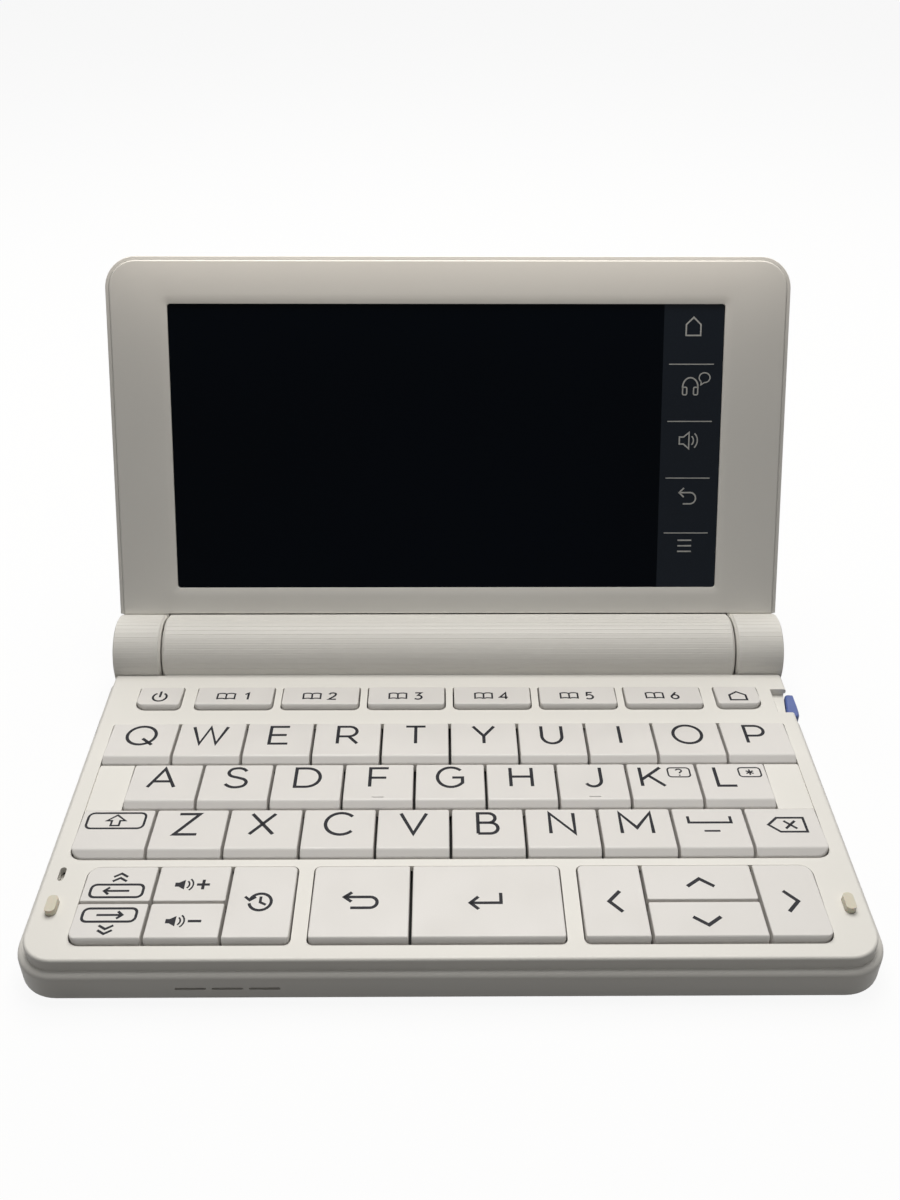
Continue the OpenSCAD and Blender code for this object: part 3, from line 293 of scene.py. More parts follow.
# Letters and figures as centre lines, with the height of a capital as 1 and the width first
LETTERS = {
    "a": (1.02, [[(0, 0), (0.51, 1), (1.02, 0)], [(0.17, 0.31), (0.85, 0.31)]]),
    "b": (0.74, [[(0, 0), (0, 1), (0.40, 1)] + arc(0.40, 0.765, 0.25, 0.235, 90, -90) + [(0, 0.53)],
                 [(0.40, 0.53)] + arc(0.45, 0.265, 0.29, 0.265, 90, -90) + [(0, 0)]]),
    "c": (1.02, [arc(0.57, 0.5, 0.57, 0.53, 42, 318, 24)]),
    "d": (0.95, [[(0, 0), (0, 1), (0.42, 1)] + arc(0.42, 0.5, 0.53, 0.5, 90, -90, 16) + [(0, 0)]]),
    "e": (0.74, [[(0.74, 1), (0, 1), (0, 0), (0.75, 0)], [(0, 0.51), (0.66, 0.51)]]),
    "f": (0.70, [[(0.71, 1), (0, 1), (0, 0)], [(0, 0.48), (0.63, 0.48)]]),
    "g": (1.00, [arc(0.53, 0.5, 0.53, 0.53, 44, 312, 24) + [(0.98, 0.2), (0.98, 0.48), (0.58, 0.48)]]),
    "h": (0.83, [[(0, 0), (0, 1)], [(0.83, 0), (0.83, 1)], [(0, 0.52), (0.83, 0.52)]]),
    "i": (0.0, [[(0, 0), (0, 1)]]),
    "j": (0.68, [[(0.68, 1)] + arc(0.36, 0.31, 0.32, 0.33, 0, -150, 14)]),
    "k": (0.88, [[(0, 0), (0, 1)], [(0.82, 1), (0, 0.33)], [(0.29, 0.57), (0.88, 0)]]),
    "l": (0.72, [[(0, 1), (0, 0), (0.72, 0)]]),
    "m": (1.16, [[(0, 0), (0, 1), (0.58, 0.26), (1.16, 1), (1.16, 0)]]),
    "n": (0.90, [[(0, 0), (0, 1), (0.90, 0), (0.90, 1)]]),
    "o": (1.16, [arc(0.58, 0.5, 0.58, 0.53, 90, 450, 36)]),
    "p": (0.76, [[(0, 0), (0, 1), (0.44, 1)] + arc(0.44, 0.705, 0.32, 0.295, 90, -90, 12) + [(0, 0.41)]]),
    "q": (1.16, [arc(0.58, 0.5, 0.58, 0.53, 90, 450, 36), [(0.66, 0.32), (1.10, -0.05)]]),
    "r": (0.78, [[(0, 0), (0, 1), (0.44, 1)] + arc(0.44, 0.71, 0.32, 0.29, 90, -90, 12) + [(0, 0.42)],
                 [(0.44, 0.42), (0.80, 0)]]),
    "s": (0.82, [curve([(0.75, 0.85), (0.62, 0.97), (0.42, 1.02), (0.16, 0.96), (0.06, 0.77), (0.16, 0.60),
                        (0.42, 0.51), (0.70, 0.41), (0.81, 0.24), (0.70, 0.05), (0.42, -0.02),
                        (0.18, 0.03), (0.0, 0.16)])]),
    "t": (0.80, [[(0, 1), (0.80, 1)], [(0.40, 1), (0.40, 0)]]),
    "u": (0.82, [[(0, 1), (0, 0.42)] + arc(0.41, 0.4, 0.41, 0.42, 180, 360, 16) + [(0.82, 1)]]),
    "v": (0.96, [[(0, 1), (0.48, 0), (0.96, 1)]]),
    "w": (1.38, [[(0, 1), (0.36, 0), (0.69, 0.98), (1.02, 0), (1.38, 1)]]),
    "x": (0.87, [[(0, 1), (0.87, 0)], [(0, 0), (0.87, 1)]]),
    "y": (0.86, [[(0, 1), (0.43, 0.42), (0.86, 1)], [(0.43, 0.42), (0.43, 0)]]),
    "z": (0.84, [[(0.04, 1), (0.80, 1), (0, 0), (0.84, 0)]]),
    "1": (0.3, [[(0.0, 0.8), (0.3, 1), (0.3, 0)]]),
    "2": (0.62, [curve([(0.02, 0.78), (0.12, 0.95), (0.32, 1.02), (0.54, 0.94), (0.6, 0.74), (0.5, 0.52),
                        (0.26, 0.25)]) + [(0, 0), (0.66, 0)]]),
    "3": (0.62, [[(0.04, 1), (0.58, 1), (0.28, 0.6)] + arc(0.28, 0.3, 0.34, 0.31, 85, -140, 14)]),
    "4": (0.7, [[(0.52, 0), (0.52, 1), (0, 0.28), (0.7, 0.28)]]),
    "5": (0.62, [[(0.58, 1), (0.12, 1), (0.08, 0.56)] + arc(0.28, 0.32, 0.34, 0.33, 110, -140, 14)]),
    "6": (0.64, [arc(0.32, 0.3, 0.31, 0.31, 90, 450, 20), [(0.46, 1.02), (0.07, 0.47)]]),
}


def letter(name, x, y, height, width, narrow=1.0):
    """The lines of a letter about a centre, with their width."""
    wide, lines = LETTERS[name]
    return [([(x + height * narrow * (a - wide / 2), y + height * (b - 0.5)) for a, b in line], width)
            for line in lines]


def swung(lines, x, y, turn, width):
    """Lines drawn about the origin, swung to an angle and moved to a place, with their width."""
    c, s = math.cos(math.radians(turn)), math.sin(math.radians(turn))
    return [([(x + a * c - b * s, y + a * s + b * c) for a, b in line], width) for line in lines]


def chevron(x, y, reach, half, turn, width):
    """An arrow head of two strokes that points to an angle."""
    return swung([[(-reach / 2, half), (reach / 2, 0), (-reach / 2, -half)]], x, y, turn, width)


def plain_arrow(x, y, long, turn, width):
    """A shaft with a small arrow head of two strokes."""
    tip = long / 2
    return swung([[(-tip, 0), (tip, 0)], [(tip - 0.9, 0.85), (tip, 0), (tip - 0.9, -0.85)]],
                 x, y, turn, width)


def loudspeaker(x, y):
    """The solid horn of a loudspeaker, as an outline to fill."""
    return [(x - 1.7, y - 0.5), (x - 1.0, y - 0.5), (x + 0.1, y - 1.2), (x + 0.1, y + 1.2),
            (x - 1.0, y + 0.5), (x - 1.7, y + 0.5)]


def sound_waves(x, y):
    """The two waves in front of a loudspeaker."""
    return [(arc(x - 0.2, y, r, r, -48, 48, 6), 0.28) for r in (1.15, 1.85)]


def house(x, y, wide, high, width):
    """A house front as one line round its walls and roof."""
    w, h = wide / 2, high / 2
    return [([(x - w, y - h), (x - w, y + 0.1 * high), (x, y + h), (x + w, y + 0.1 * high), (x + w, y - h),
              (x - w, y - h)], width)]


def bent_arrow(x, y, wide, high, width):
    """A line that turns back to the left and ends in an arrow head."""
    r = high * 0.31
    top = y + high * 0.24
    tip = x - wide / 2
    line = [(tip, top), (x + wide / 2 - r, top)] + arc(x + wide / 2 - r, top - r, r, r, 90, -90, 10)
    line += [(tip + wide * 0.2, top - 2 * r)]
    head = [(tip + wide * 0.22, top + high * 0.27), (tip, top), (tip + wide * 0.22, top - high * 0.27)]
    return [(line, width), (head, width)]


def open_book(x, y, width):
    """A small open book: the spine and two pages that mirror each other."""
    spine = [(x, y - 1.0), (x, y + 0.9)]
    left = [(x, y + 0.9)] + curve([(x - 0.5, y + 1.15), (x - 1.2, y + 1.2), (x - 1.9, y + 1.0)], 2)
    left += [(x - 1.9, y - 0.95)] + curve([(x - 1.2, y - 0.8), (x - 0.6, y - 0.8), (x, y - 1.05)], 2)
    right = [(2 * x - a, b) for a, b in left]
    return [(spine, width), (left, width), (right, width)]


# Signs of the keys without a letter, as lines with their widths, in mm from the middle of the
# case and from its front
SIGNS = {
    "power_key": [(arc(-64.15, 71.8, 1.5, 1.6, 122, 418, 20), 0.42),
                  ([(-64.15, 71.7), (-64.15, 74.0)], 0.42)],
    "home_key": house(64.15, 71.85, 3.6, 3.2, 0.42),
    "shift_key": [
        (box_line(-65.4, 34.2, 11.2, 4.4, 1.1), 0.42),
        ([(-65.4, 35.8), (-67.2, 34.2), (-66.2, 34.2), (-66.2, 32.8), (-64.6, 32.8), (-64.6, 34.2),
          (-63.6, 34.2), (-65.4, 35.8)], 0.36)],
    "space_key": [([(46.6, 35.0), (46.6, 33.2), (54.9, 33.2), (54.9, 35.0)], 0.5),
                  ([(49.2, 30.8), (52.3, 30.8)], 0.42)],
    "delete_key": [
        ([(62.0, 32.5), (64.0, 34.5), (69.2, 34.5), (69.2, 30.5), (64.0, 30.5), (62.0, 32.5)], 0.45),
        ([(65.2, 33.6), (67.4, 31.4)], 0.45), ([(65.2, 31.4), (67.4, 33.6)], 0.45)],
    "previous_entry_key": (
        chevron(-61.3, 20.3, 0.85, 1.3, 90, 0.42) + chevron(-61.3, 19.2, 0.85, 1.3, 90, 0.42)
        + [(box_line(-61.3, 16.4, 9.6, 3.1, 1.0), 0.45)] + plain_arrow(-61.3, 16.4, 4.6, 180, 0.42)),
    "next_entry_key": (
        chevron(-61.3, 7.75, 0.85, 1.3, 270, 0.42) + chevron(-61.3, 6.65, 0.85, 1.3, 270, 0.42)
        + [(box_line(-61.3, 10.6, 9.6, 3.1, 1.0), 0.45)] + plain_arrow(-61.3, 10.6, 4.6, 0, 0.42)),
    "volume_up_key": sound_waves(-49.2, 17.9) + [
        ([(-46.9, 17.9), (-44.5, 17.9)], 0.5), ([(-45.7, 16.7), (-45.7, 19.1)], 0.5)],
    "volume_down_key": sound_waves(-49.3, 9.1) + [([(-47.0, 9.1), (-44.6, 9.1)], 0.5)],
    "history_key": [
        (arc(-34.7, 13.6, 2.0, 2.0, 160, -170, 24), 0.5),
        ([(-34.7, 14.9), (-34.7, 13.5), (-33.6, 12.9)], 0.45),
        ([(-37.6, 14.9), (-36.65, 14.0), (-35.6, 14.8)], 0.45)],
    "back_key": bent_arrow(-16.5, 13.7, 6.0, 4.2, 0.55),
    "enter_key": [([(9.0, 15.6), (9.0, 13.2), (3.4, 13.2)], 0.55),
                  ([(4.9, 14.7), (3.4, 13.2), (4.9, 11.7)], 0.55)],
    "left_key": chevron(29.75, 13.45, 2.2, 2.5, 180, 0.62),
    "right_key": chevron(61.95, 13.35, 2.2, 2.5, 0, 0.62),
    "up_key": chevron(46.0, 18.0, 1.9, 2.5, 90, 0.62),
    "down_key": chevron(45.75, 8.75, 1.9, 2.5, 270, 0.62),
}
FILLED_SIGNS = {"volume_up_key": [loudspeaker(-49.2, 17.9)], "volume_down_key": [loudspeaker(-49.3, 9.1)]}
SIGN_WEIGHT = 1.15  # the signs are this much bolder than the widths given with them
DICTIONARY_PITCH = 19.03
DICTIONARY_KEYS = {f"dictionary_key_{number}": number for number in range(1, 7)}
for name, number in DICTIONARY_KEYS.items():
    middle = (number - 3.5) * DICTIONARY_PITCH
    SIGNS[name] = open_book(middle - 1.9, 72.0, 0.34) + letter(str(number), middle + 2.6, 72.0, 2.5, 0.4)

LETTER_HEIGHT, LETTER_STROKE, LETTER_NARROWING = 5.8, 0.7, 0.9
LETTER_BACK = 4.1  # from a key's rear edge to the middle of its letter
LETTER_SHIFT = {"k": -2.2, "l": -1.7, "a": -0.5, "z": -0.5, "x": -0.4, "w": -0.4, "q": -0.3}
BAR_FROM_FRONT = 2.35
BAR_LENGTH, BAR_WIDTH, BAR_HEIGHT, BAR_SINK = 2.5, 0.5, 0.14, 0.05


def letter_legend(initial, middle, rear):
    """The lines of a letter key's legend, with the small boxed signs beside the k and the l."""
    lines = letter(initial, middle + LETTER_SHIFT.get(initial, 0.0), rear - LETTER_BACK, LETTER_HEIGHT,
                   LETTER_STROKE, LETTER_NARROWING)
    if initial == "k":
        lines += [(box_line(47.0, 47.5, 4.5, 2.9, 0.7), 0.34)]
        lines += [(arc(47.0, 48.0, 0.6, 0.5, 165, -60, 8) + [(47.05, 47.2)], 0.34)]
        lines += [([(47.05, 46.75), (47.05, 46.4)], 0.34)]
    if initial == "l":
        lines += [(box_line(61.6, 47.5, 4.5, 2.9, 0.7), 0.34)]
        lines += [([(61.6 - c, 47.5 - s), (61.6 + c, 47.5 + s)], 0.34)
                  for c, s in ((0, 0.85), (0.74, 0.42), (0.74, -0.42))]
    return lines


def homing_bar(shape, x, front, place):
    """The low moulded bar near the front of the f and j keys, narrower at its top."""
    y = front + BAR_FROM_FRONT
    bar = box_line(x, y, BAR_LENGTH, BAR_WIDTH, 0.2)[:-1]
    base = [shape.verts.new(place(a, b, -BAR_SINK)) for a, b in bar]
    top = [shape.verts.new(place(x + (a - x) * 0.94, y + (b - y) * 0.6, BAR_HEIGHT)) for a, b in bar]
    stack(shape, base, top)
    shape.faces.new(top)
    shape.faces.new(base[::-1])


def as_mesh(shape, name, sharp=40):
    """Closes a shape's making: normals outwards, edges over an angle sharp."""
    bmesh.ops.recalc_face_normals(shape, faces=shape.faces)
    mesh = bpy.data.meshes.new(name)
    shape.to_mesh(mesh)
    shape.free()
    mesh.set_sharp_from_angle(angle=math.radians(sharp))
    return mesh


def key_height(y, front, rear, slope):
    """Height of a key's top at a distance from the case's front: a slope, a round crest and the flat top.
    Lower keys that lie one behind the other share one top, with the slope on the front one alone."""
    slack = 0.1
    if rear < LOWER_REAR + slack:
        rear = LOWER_REAR
        if front > LOWER_FRONT + slack:
            fall = (KEY_TOP - KEY_REAR) / (LOWER_REAR - LOWER_FRONT - OTHER_SLOPE)
            return KEY_TOP - fall * (y - LOWER_FRONT - OTHER_SLOPE)
    crest = front + slope
    rise = (KEY_TOP - PLATE_Z - FRONT_STAND) / slope
    fall = (KEY_TOP - KEY_REAR) / (rear - crest)
    if abs(y - crest) >= CREST:
        return min(KEY_TOP + rise * (y - crest), KEY_TOP - fall * (y - crest))
    t = (y - crest + CREST) / (2 * CREST)
    return KEY_TOP - rise * CREST * (1 - t) ** 2 - fall * CREST * t * t


# Corners of the caps that are rounder than SMALL_R
ROUND_CORNERS = {
    "shift_key": {"front_left": GROUP_R},
    "delete_key": {"front_right": GROUP_R},
    "previous_entry_key": {"rear_left": EDGE_R},
    "next_entry_key": {"front_left": EDGE_R},
    "history_key": {"front_right": INNER_R, "rear_right": INNER_R},
    "back_key": {"front_left": INNER_R, "rear_left": INNER_R},
    "enter_key": {"front_right": INNER_R, "rear_right": INNER_R},
    "left_key": {"front_left": INNER_R, "rear_left": INNER_R},
    "right_key": {"front_right": EDGE_R, "rear_right": EDGE_R},
    "power_key": {"front_left": GROUP_R, "front_right": UPPER_R},
    "home_key": {"front_left": UPPER_R, "front_right": GROUP_R},
}
for name in DICTIONARY_KEYS:
    ROUND_CORNERS[name] = {"front_left": UPPER_R, "front_right": UPPER_R}


def keycap(name, slope):
    """A key's cap with its legend: round corners, soft upper edges and a rounded crest."""
    low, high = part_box(name)
    left, right = low[0] / MM, high[0] / MM
    front, rear = low[1] / MM - FRONT_Y, high[1] / MM - FRONT_Y
    corners = (("front_left", left, front, 1, 1, 180), ("front_right", right, front, -1, 1, 270),
               ("rear_right", right, rear, -1, -1, 0), ("rear_left", left, rear, 1, -1, 90))
    shape = bmesh.new()

    def ring(inset, level):
        """The cap's outline, drawn in by inset, at a level under its top."""
        verts = []
        for corner, x, y, sx, sy, start in corners:
            radius = ROUND_CORNERS.get(name, {}).get(corner, SMALL_R)
            steps = 8 if radius > 1 else 4
            reach = radius - min(inset, radius - LEAST_RADIUS)
            for i in range(steps + 1):
                a = math.radians(start + 90 * i / steps)
                verts.append(shape.verts.new((x + sx * (inset + reach) + reach * math.cos(a),
                                              y + sy * (inset + reach) + reach * math.sin(a), level)))
        return verts

    def on_top(x, y, lift):
        """A place on the cap's top, or lift mm over it."""
        return (x * MM, (y + FRONT_Y) * MM, (key_height(y, front, rear, slope) + lift) * MM)

    foot_mark = -50.0  # level at which the foot waits until its points get their heights
    rings = [ring(0, foot_mark), ring(0, -EDGE_ROUND)]
    for turn in (30, 60, 90):
        a = math.radians(turn)
        rings.append(ring(EDGE_ROUND * (1 - math.cos(a)), EDGE_ROUND * (math.sin(a) - 1)))
    for lower, upper in zip(rings, rings[1:]):
        stack(shape, lower, upper)
    shape.faces.new(rings[-1])
    shape.faces.new(rings[0][::-1])
    for i in range(-2, 3):
        cut = front + slope + i * CREST / 2
        everything = shape.verts[:] + shape.edges[:] + shape.faces[:]
        bmesh.ops.bisect_plane(shape, geom=everything, plane_co=(0, cut, 0), plane_no=(0, 1, 0))
    for vert in shape.verts:
        x, y, drop = vert.co
        z = KEY_FOOT if drop < foot_mark / 2 else key_height(y, front, rear, slope) + drop
        vert.co = (x * MM, (y + FRONT_Y) * MM, z * MM)
    for face in shape.faces:
        face.smooth = True

    middle = (left + right) / 2
    if name in SIGNS:
        lines = [(line, width * SIGN_WEIGHT) for line, width in SIGNS[name]]
    else:
        lines = letter_legend(name[-1], middle, rear)
    if name in ("key_f", "key_j"):
        homing_bar(shape, middle, front, on_top)
    for outline in FILLED_SIGNS.get(name, []):
        lay_patch(shape, outline, on_top)
    for line, width in lines:
        lay_line(shape, line, width, on_top)
    even_faces(show("cap_" + name, as_mesh(shape, name), name, [KEY_ABS, INK], name))


for initial in "qwertyuiopasdfghjklzxcvbnm":
    keycap("key_" + initial, LETTER_SLOPE)
for name in ("shift_key", "space_key", "delete_key"):
    keycap(name, LETTER_SLOPE)
for name in ("previous_entry_key", "next_entry_key", "volume_up_key", "volume_down_key", "history_key",
             "back_key", "enter_key", "left_key", "up_key", "down_key", "right_key", "power_key",
             "home_key"):
    keycap(name, OTHER_SLOPE)
for name in DICTIONARY_KEYS:
    keycap(name, OTHER_SLOPE)

# ---- Battery cover --------------------------------------------------------------------------
# The lower rear of the barrel, clipped on over the two cells. The same painted ABS and the same
# ribs as the barrel, so that only its outline shows.

break_edges(
    show("cell_cover", cleaned("battery_cover"), "battery_cover", [SHELL], "battery_cover"), 0.1)

# ---- Battery cells --------------------------------------------------------------------------
# Two round cells, end to end in the barrel. A steel can in a printed jacket, with a crimped
# groove at the end that carries the contact cap.

HINGE_Y, HINGE_Z = 89.3, 9.3
CELL_LENGTH = 50.3
CELL_RADIUS = 7.1
DARK_LENGTH = 34  # the dark part of each jacket


def cell_jacket(tree, place):
    # Printed film over the can: two flat colours that meet at a line, glossy and slightly wavy.
    along = add(tree, "ShaderNodeSeparateXYZ", {"Vector": place}).outputs["X"]
    turn = add(tree, "ShaderNodeMath", {0: along, 1: CELL_LENGTH * MM}, operation="FLOORED_MODULO")
    band = add(tree, "ShaderNodeMath", {0: turn.outputs[0], 1: DARK_LENGTH * MM}, operation="GREATER_THAN")
    tone = add(tree, "ShaderNodeMix", {
        "Factor": band.outputs[0], "A": linear("#2B2D33"), "B": linear("#B98545")}, data_type="RGBA")
    wave = add(tree, "ShaderNodeTexNoise", {"Vector": place, "Scale": 1 / (3 * MM), "Detail": 1.0})
    bump = add(tree, "ShaderNodeBump", {
        "Height": wave.outputs["Fac"], "Strength": 0.2, "Distance": 0.03 * MM})
    return add(tree, "ShaderNodeBsdfPrincipled", {
        "Base Color": tone.outputs["Result"], "Roughness": 0.28, "IOR": 1.5,
        "Normal": bump.outputs["Normal"]})


def nickel_plate(tree, place):
    # Bright nickel on drawn steel, with the faint brushing of the drawing die every 0.3 mm.
    brush = add(tree, "ShaderNodeTexNoise", {"Vector": place, "Scale": 1 / (0.3 * MM), "Detail": 2.0})
    gloss = add(tree, "ShaderNodeMapRange", {"Value": brush.outputs["Fac"], "To Min": 0.2, "To Max": 0.38})
    return add(tree, "ShaderNodeBsdfPrincipled", {
        "Base Color": linear("#B9B7B1"), "Metallic": 1.0, "Roughness": gloss.outputs["Result"]})


JACKET = finish("printed_cell_jacket", cell_jacket)
NICKEL = finish("nickel_plated_steel", nickel_plate)


def turned(shape, profile, place, material=0, segments=48):
    """A closed solid of revolution from (along, radius) points that start and end on its axis."""
    turns = [2 * math.pi * i / segments for i in range(segments)]
    rings = [[shape.verts.new(place(along, radius * math.cos(a), radius * math.sin(a))) for a in turns]
             for along, radius in profile[1:-1]]
    first = shape.verts.new(place(profile[0][0], 0, 0))
    last = shape.verts.new(place(profile[-1][0], 0, 0))
    faces = []
    for i in range(segments):
        j = (i + 1) % segments
        faces.append(shape.faces.new((first, rings[0][i], rings[0][j])))
        faces.append(shape.faces.new((last, rings[-1][j], rings[-1][i])))
    for lower, upper in zip(rings, rings[1:]):
        faces += stack(shape, lower, upper)
    for face in faces:
        face.smooth = True
        face.material_index = material
    return faces


CAN = [(0.35, 0), (0.35, 5.2), (0, 5.6), (0, 6.5), (0.25, CELL_RADIUS - 0.15), (0.6, CELL_RADIUS),
       (45.4, CELL_RADIUS), (45.7, 6.8), (46.3, 6.8), (46.6, CELL_RADIUS), (48.7, CELL_RADIUS),
       (49.1, CELL_RADIUS - 0.2), (49.3, 6.5), (49.3, 0)]
CONTACT_CAP = [(49.28, 0), (49.28, 2.9), (50.0, 2.7), (50.25, 2.4), (50.28, 0)]
cells = bmesh.new()
for start in (0.01 - CELL_LENGTH, 0.01):
    def in_barrel(along, across, up):
        """A place in the barrel, with along measured from the start of the cell."""
        return ((start + along) * MM, (FRONT_Y + HINGE_Y + across) * MM, (HINGE_Z + up) * MM)

    for face in turned(cells, CAN, in_barrel):
        middle = face.calc_center_median().x / MM - start
        face.material_index = 0 if 0.5 < middle < 48.9 else 1
    turned(cells, CONTACT_CAP, in_barrel, 1)
show("battery_cells", as_mesh(cells, "battery_cells", 30), "base", [JACKET, NICKEL], "batteries")

# ---- Hinge units ----------------------------------------------------------------------------
# Two friction drums of turned steel, one in each end of the case's barrel. Their pins carry the
# lid's end barrels, and their friction holds the lid at any angle.

WAVE_TURNS = 20  # radians that a wave texture's bands turn in one unit


def hinge_steel(tree, place):
    # Turned steel, oiled, with tool marks round the axis, 1.6 mm (2 pi times 0.25) from each other.
    marks = add(tree, "ShaderNodeTexWave", {
        "Vector": place, "Scale": 1 / (0.25 * MM) / WAVE_TURNS, "Distortion": 0.4},
        wave_type="BANDS", bands_direction="X")
    gloss = add(tree, "ShaderNodeMapRange", {"Value": marks.outputs["Fac"], "To Min": 0.25, "To Max": 0.42})
    return add(tree, "ShaderNodeBsdfPrincipled", {
        "Base Color": linear("#8C8F94"), "Metallic": 1.0, "Roughness": gloss.outputs["Result"]})


HINGE_STEEL = finish("turned_steel", hinge_steel)
break_edges(
    show("hinge_drums", cleaned("hinge_units"), "base", [HINGE_STEEL], "hinge_units"), 0.25)

# ---- Lid ------------------------------------------------------------------------------------
# Two painted ABS halves that snap together around the display. The front half has a sloped
# frame down to the glass and the two ribbed end barrels, and the back half is a shallow tray.

LID_OPENING = 115  # degrees, at rest
# The lid's own frame: x along the hinge, y from the hinge axis up the lid, z out of its face
IN_LID = (Matrix.Translation((0, (FRONT_Y + HINGE_Y) * MM, HINGE_Z * MM))
          @ Matrix.Rotation(math.radians(180 - LID_OPENING), 4, "X"))
TO_LID = IN_LID.inverted()

break_edges(show("lid_front", cleaned("lid_front_frame"), "lid", [SHELL], "lid_front_frame"), 0.12)
break_edges(show("lid_back", cleaned("lid_back_cover"), "lid", [SHELL], "lid_back_cover"), 0.12)

# ---- Screen ---------------------------------------------------------------------------------
# A touch panel of coated glass over a liquid crystal display that is switched off. A column of
# icons is printed on the glass at its right, with lines between them.

GLASS_FACE = -2.35
GLASS_THICKNESS = 0.7
COLUMN_LEFT = 48.7
FLEX_REACH = 13.5  # the flat cable ends this far from the hinge axis


def coated_glass(tree, place):
    # Glass over a black polariser, with an anti-reflection coat that leaves a trace of navy.
    cast = add(tree, "ShaderNodeTexNoise", {"Vector": place, "Scale": 1 / (60 * MM), "Detail": 1.0})
    tone = add(tree, "ShaderNodeMix", {
        "Factor": cast.outputs["Fac"], "A": linear("#03070D"), "B": linear("#050B14")}, data_type="RGBA")
    smear = add(tree, "ShaderNodeTexNoise", {"Vector": place, "Scale": 1 / (12 * MM), "Detail": 3.0})
    gloss = add(tree, "ShaderNodeMapRange", {"Value": smear.outputs["Fac"], "To Min": 0.05, "To Max": 0.14})
    return add(tree, "ShaderNodeBsdfPrincipled", {
        "Base Color": tone.outputs["Result"], "Roughness": gloss.outputs["Result"], "IOR": 1.5,
        "Specular IOR Level": 0.02})


def column_print(tree, place):
    # The strip behind the icons: dark grey ink under the same glass, a shade lighter than the display.
    film = add(tree, "ShaderNodeTexNoise", {"Vector": place, "Scale": 1 / (0.4 * MM), "Detail": 2.0})
    tone = add(tree, "ShaderNodeMix", {
        "Factor": film.outputs["Fac"], "A": linear("#111923"), "B": linear("#161F2A")}, data_type="RGBA")
    return add(tree, "ShaderNodeBsdfPrincipled", {
        "Base Color": tone.outputs["Result"], "Roughness": 0.12, "IOR": 1.5, "Specular IOR Level": 0.08})


def icon_ink(tree, place):
    # Pale grey ink, screen-printed in one thin coat that lets a little of the dark through.
    coat = add(tree, "ShaderNodeTexNoise", {"Vector": place, "Scale": 1 / (0.5 * MM), "Detail": 1.0})
    tone = add(tree, "ShaderNodeMix", {
        "Factor": coat.outputs["Fac"], "A": linear("#A3A4A2"), "B": linear("#BDBDB9")}, data_type="RGBA")
    return add(tree, "ShaderNodeBsdfPrincipled", {
        "Base Color": tone.outputs["Result"], "Roughness": 0.5, "IOR": 1.5})


def flex_film(tree, place):
    # Polyimide film of the flat cable, amber, over wide copper tracks 3.8 mm (2 pi times 0.6) apart.
    tracks = add(tree, "ShaderNodeTexWave", {
        "Vector": place, "Scale": 1 / (0.6 * MM) / WAVE_TURNS}, wave_type="BANDS", bands_direction="X")
    tone = add(tree, "ShaderNodeMix", {
        "Factor": tracks.outputs["Fac"], "A": linear("#8A4B14"), "B": linear("#C98A3A")}, data_type="RGBA")
    return add(tree, "ShaderNodeBsdfPrincipled", {
        "Base Color": tone.outputs["Result"], "Roughness": 0.3, "IOR": 1.6})


SCREEN_FINISHES = [
    finish("anti_reflection_glass", coated_glass), finish("printed_glass_column", column_print),
    finish("screen_printing_ink", icon_ink), NICKEL, finish("polyimide_flex", flex_film)]
ON_GLASS, ON_COLUMN, ON_ICONS, ON_BACK, ON_FLEX = range(5)

screen = bmesh.new()
screen.from_mesh(cleaned("display_module"))
everything = screen.verts[:] + screen.edges[:] + screen.faces[:]
bmesh.ops.bisect_plane(screen, geom=everything, plane_co=(COLUMN_LEFT * MM, 0, 0), plane_no=(1, 0, 0))
for face in screen.faces:
    x, u, level = TO_LID @ face.calc_center_median() / MM
    if level > GLASS_FACE - NEAR:
        face.material_index = ON_COLUMN if x > COLUMN_LEFT else ON_GLASS
    elif u < FLEX_REACH:
        face.material_index = ON_FLEX
    else:
        face.material_index = ON_GLASS if level > GLASS_FACE - GLASS_THICKNESS - 2 * NEAR else ON_BACK


def on_glass(x, u, lift):
    """A place on the glass, u mm from the hinge axis, or lift mm over it."""
    return IN_LID @ (Vector((x, u, GLASS_FACE + lift)) * MM)


# The lines between the icons, then from the top: a house, headphones with a speech bubble, a
# loudspeaker, an arrow that turns back, and a list
ICONS = [([(50.1, u), (60.3, u)], 0.22) for u in (66.1, 53.25, 40.3, 27.55)]
ICONS += [([(53.75, 72.5), (53.75, 74.9), (55.4, 76.5), (57.05, 74.9), (57.05, 72.5), (53.75, 72.5)], 0.32)]
ICONS += [([(53.35, 60.6)] + arc(55.1, 61.0, 1.75, 2.1, 180, 0, 12) + [(56.85, 60.6)], 0.32)]
ICONS += [(box_line(x, 60.1, 0.95, 1.7, 0.3), 0.28) for x in (53.85, 56.35)]
ICONS += [(arc(58.3, 63.1, 1.25, 1.1, 235, -90, 16) + [(57.5, 61.5), (57.55, 62.15)], 0.26)]
ICONS += [([(53.0, 48.1), (53.0, 49.7), (53.95, 49.7), (55.2, 50.75), (55.2, 47.05), (53.95, 48.1),
            (53.0, 48.1)], 0.3)]
ICONS += [(arc(54.9, 48.9, r, r, -46, 46, 8), 0.28) for r in (1.35, 2.25)]
ICONS += [([(53.35, 36.95), (55.9, 36.95)] + arc(55.9, 35.65, 1.3, 1.3, 90, -90, 10) + [(54.3, 34.35)],
           0.32)]
ICONS += [([(54.45, 38.0), (53.35, 36.95), (54.45, 35.9)], 0.32)]
ICONS += [([(53.35, u), (56.55, u)], 0.32) for u in (25.85, 24.55, 23.25)]
for line, width in ICONS:
    lay_line(screen, line, width, on_glass, ON_ICONS)
show("screen", as_mesh(screen, "screen", 32), "lid", SCREEN_FINISHES, "display_module")
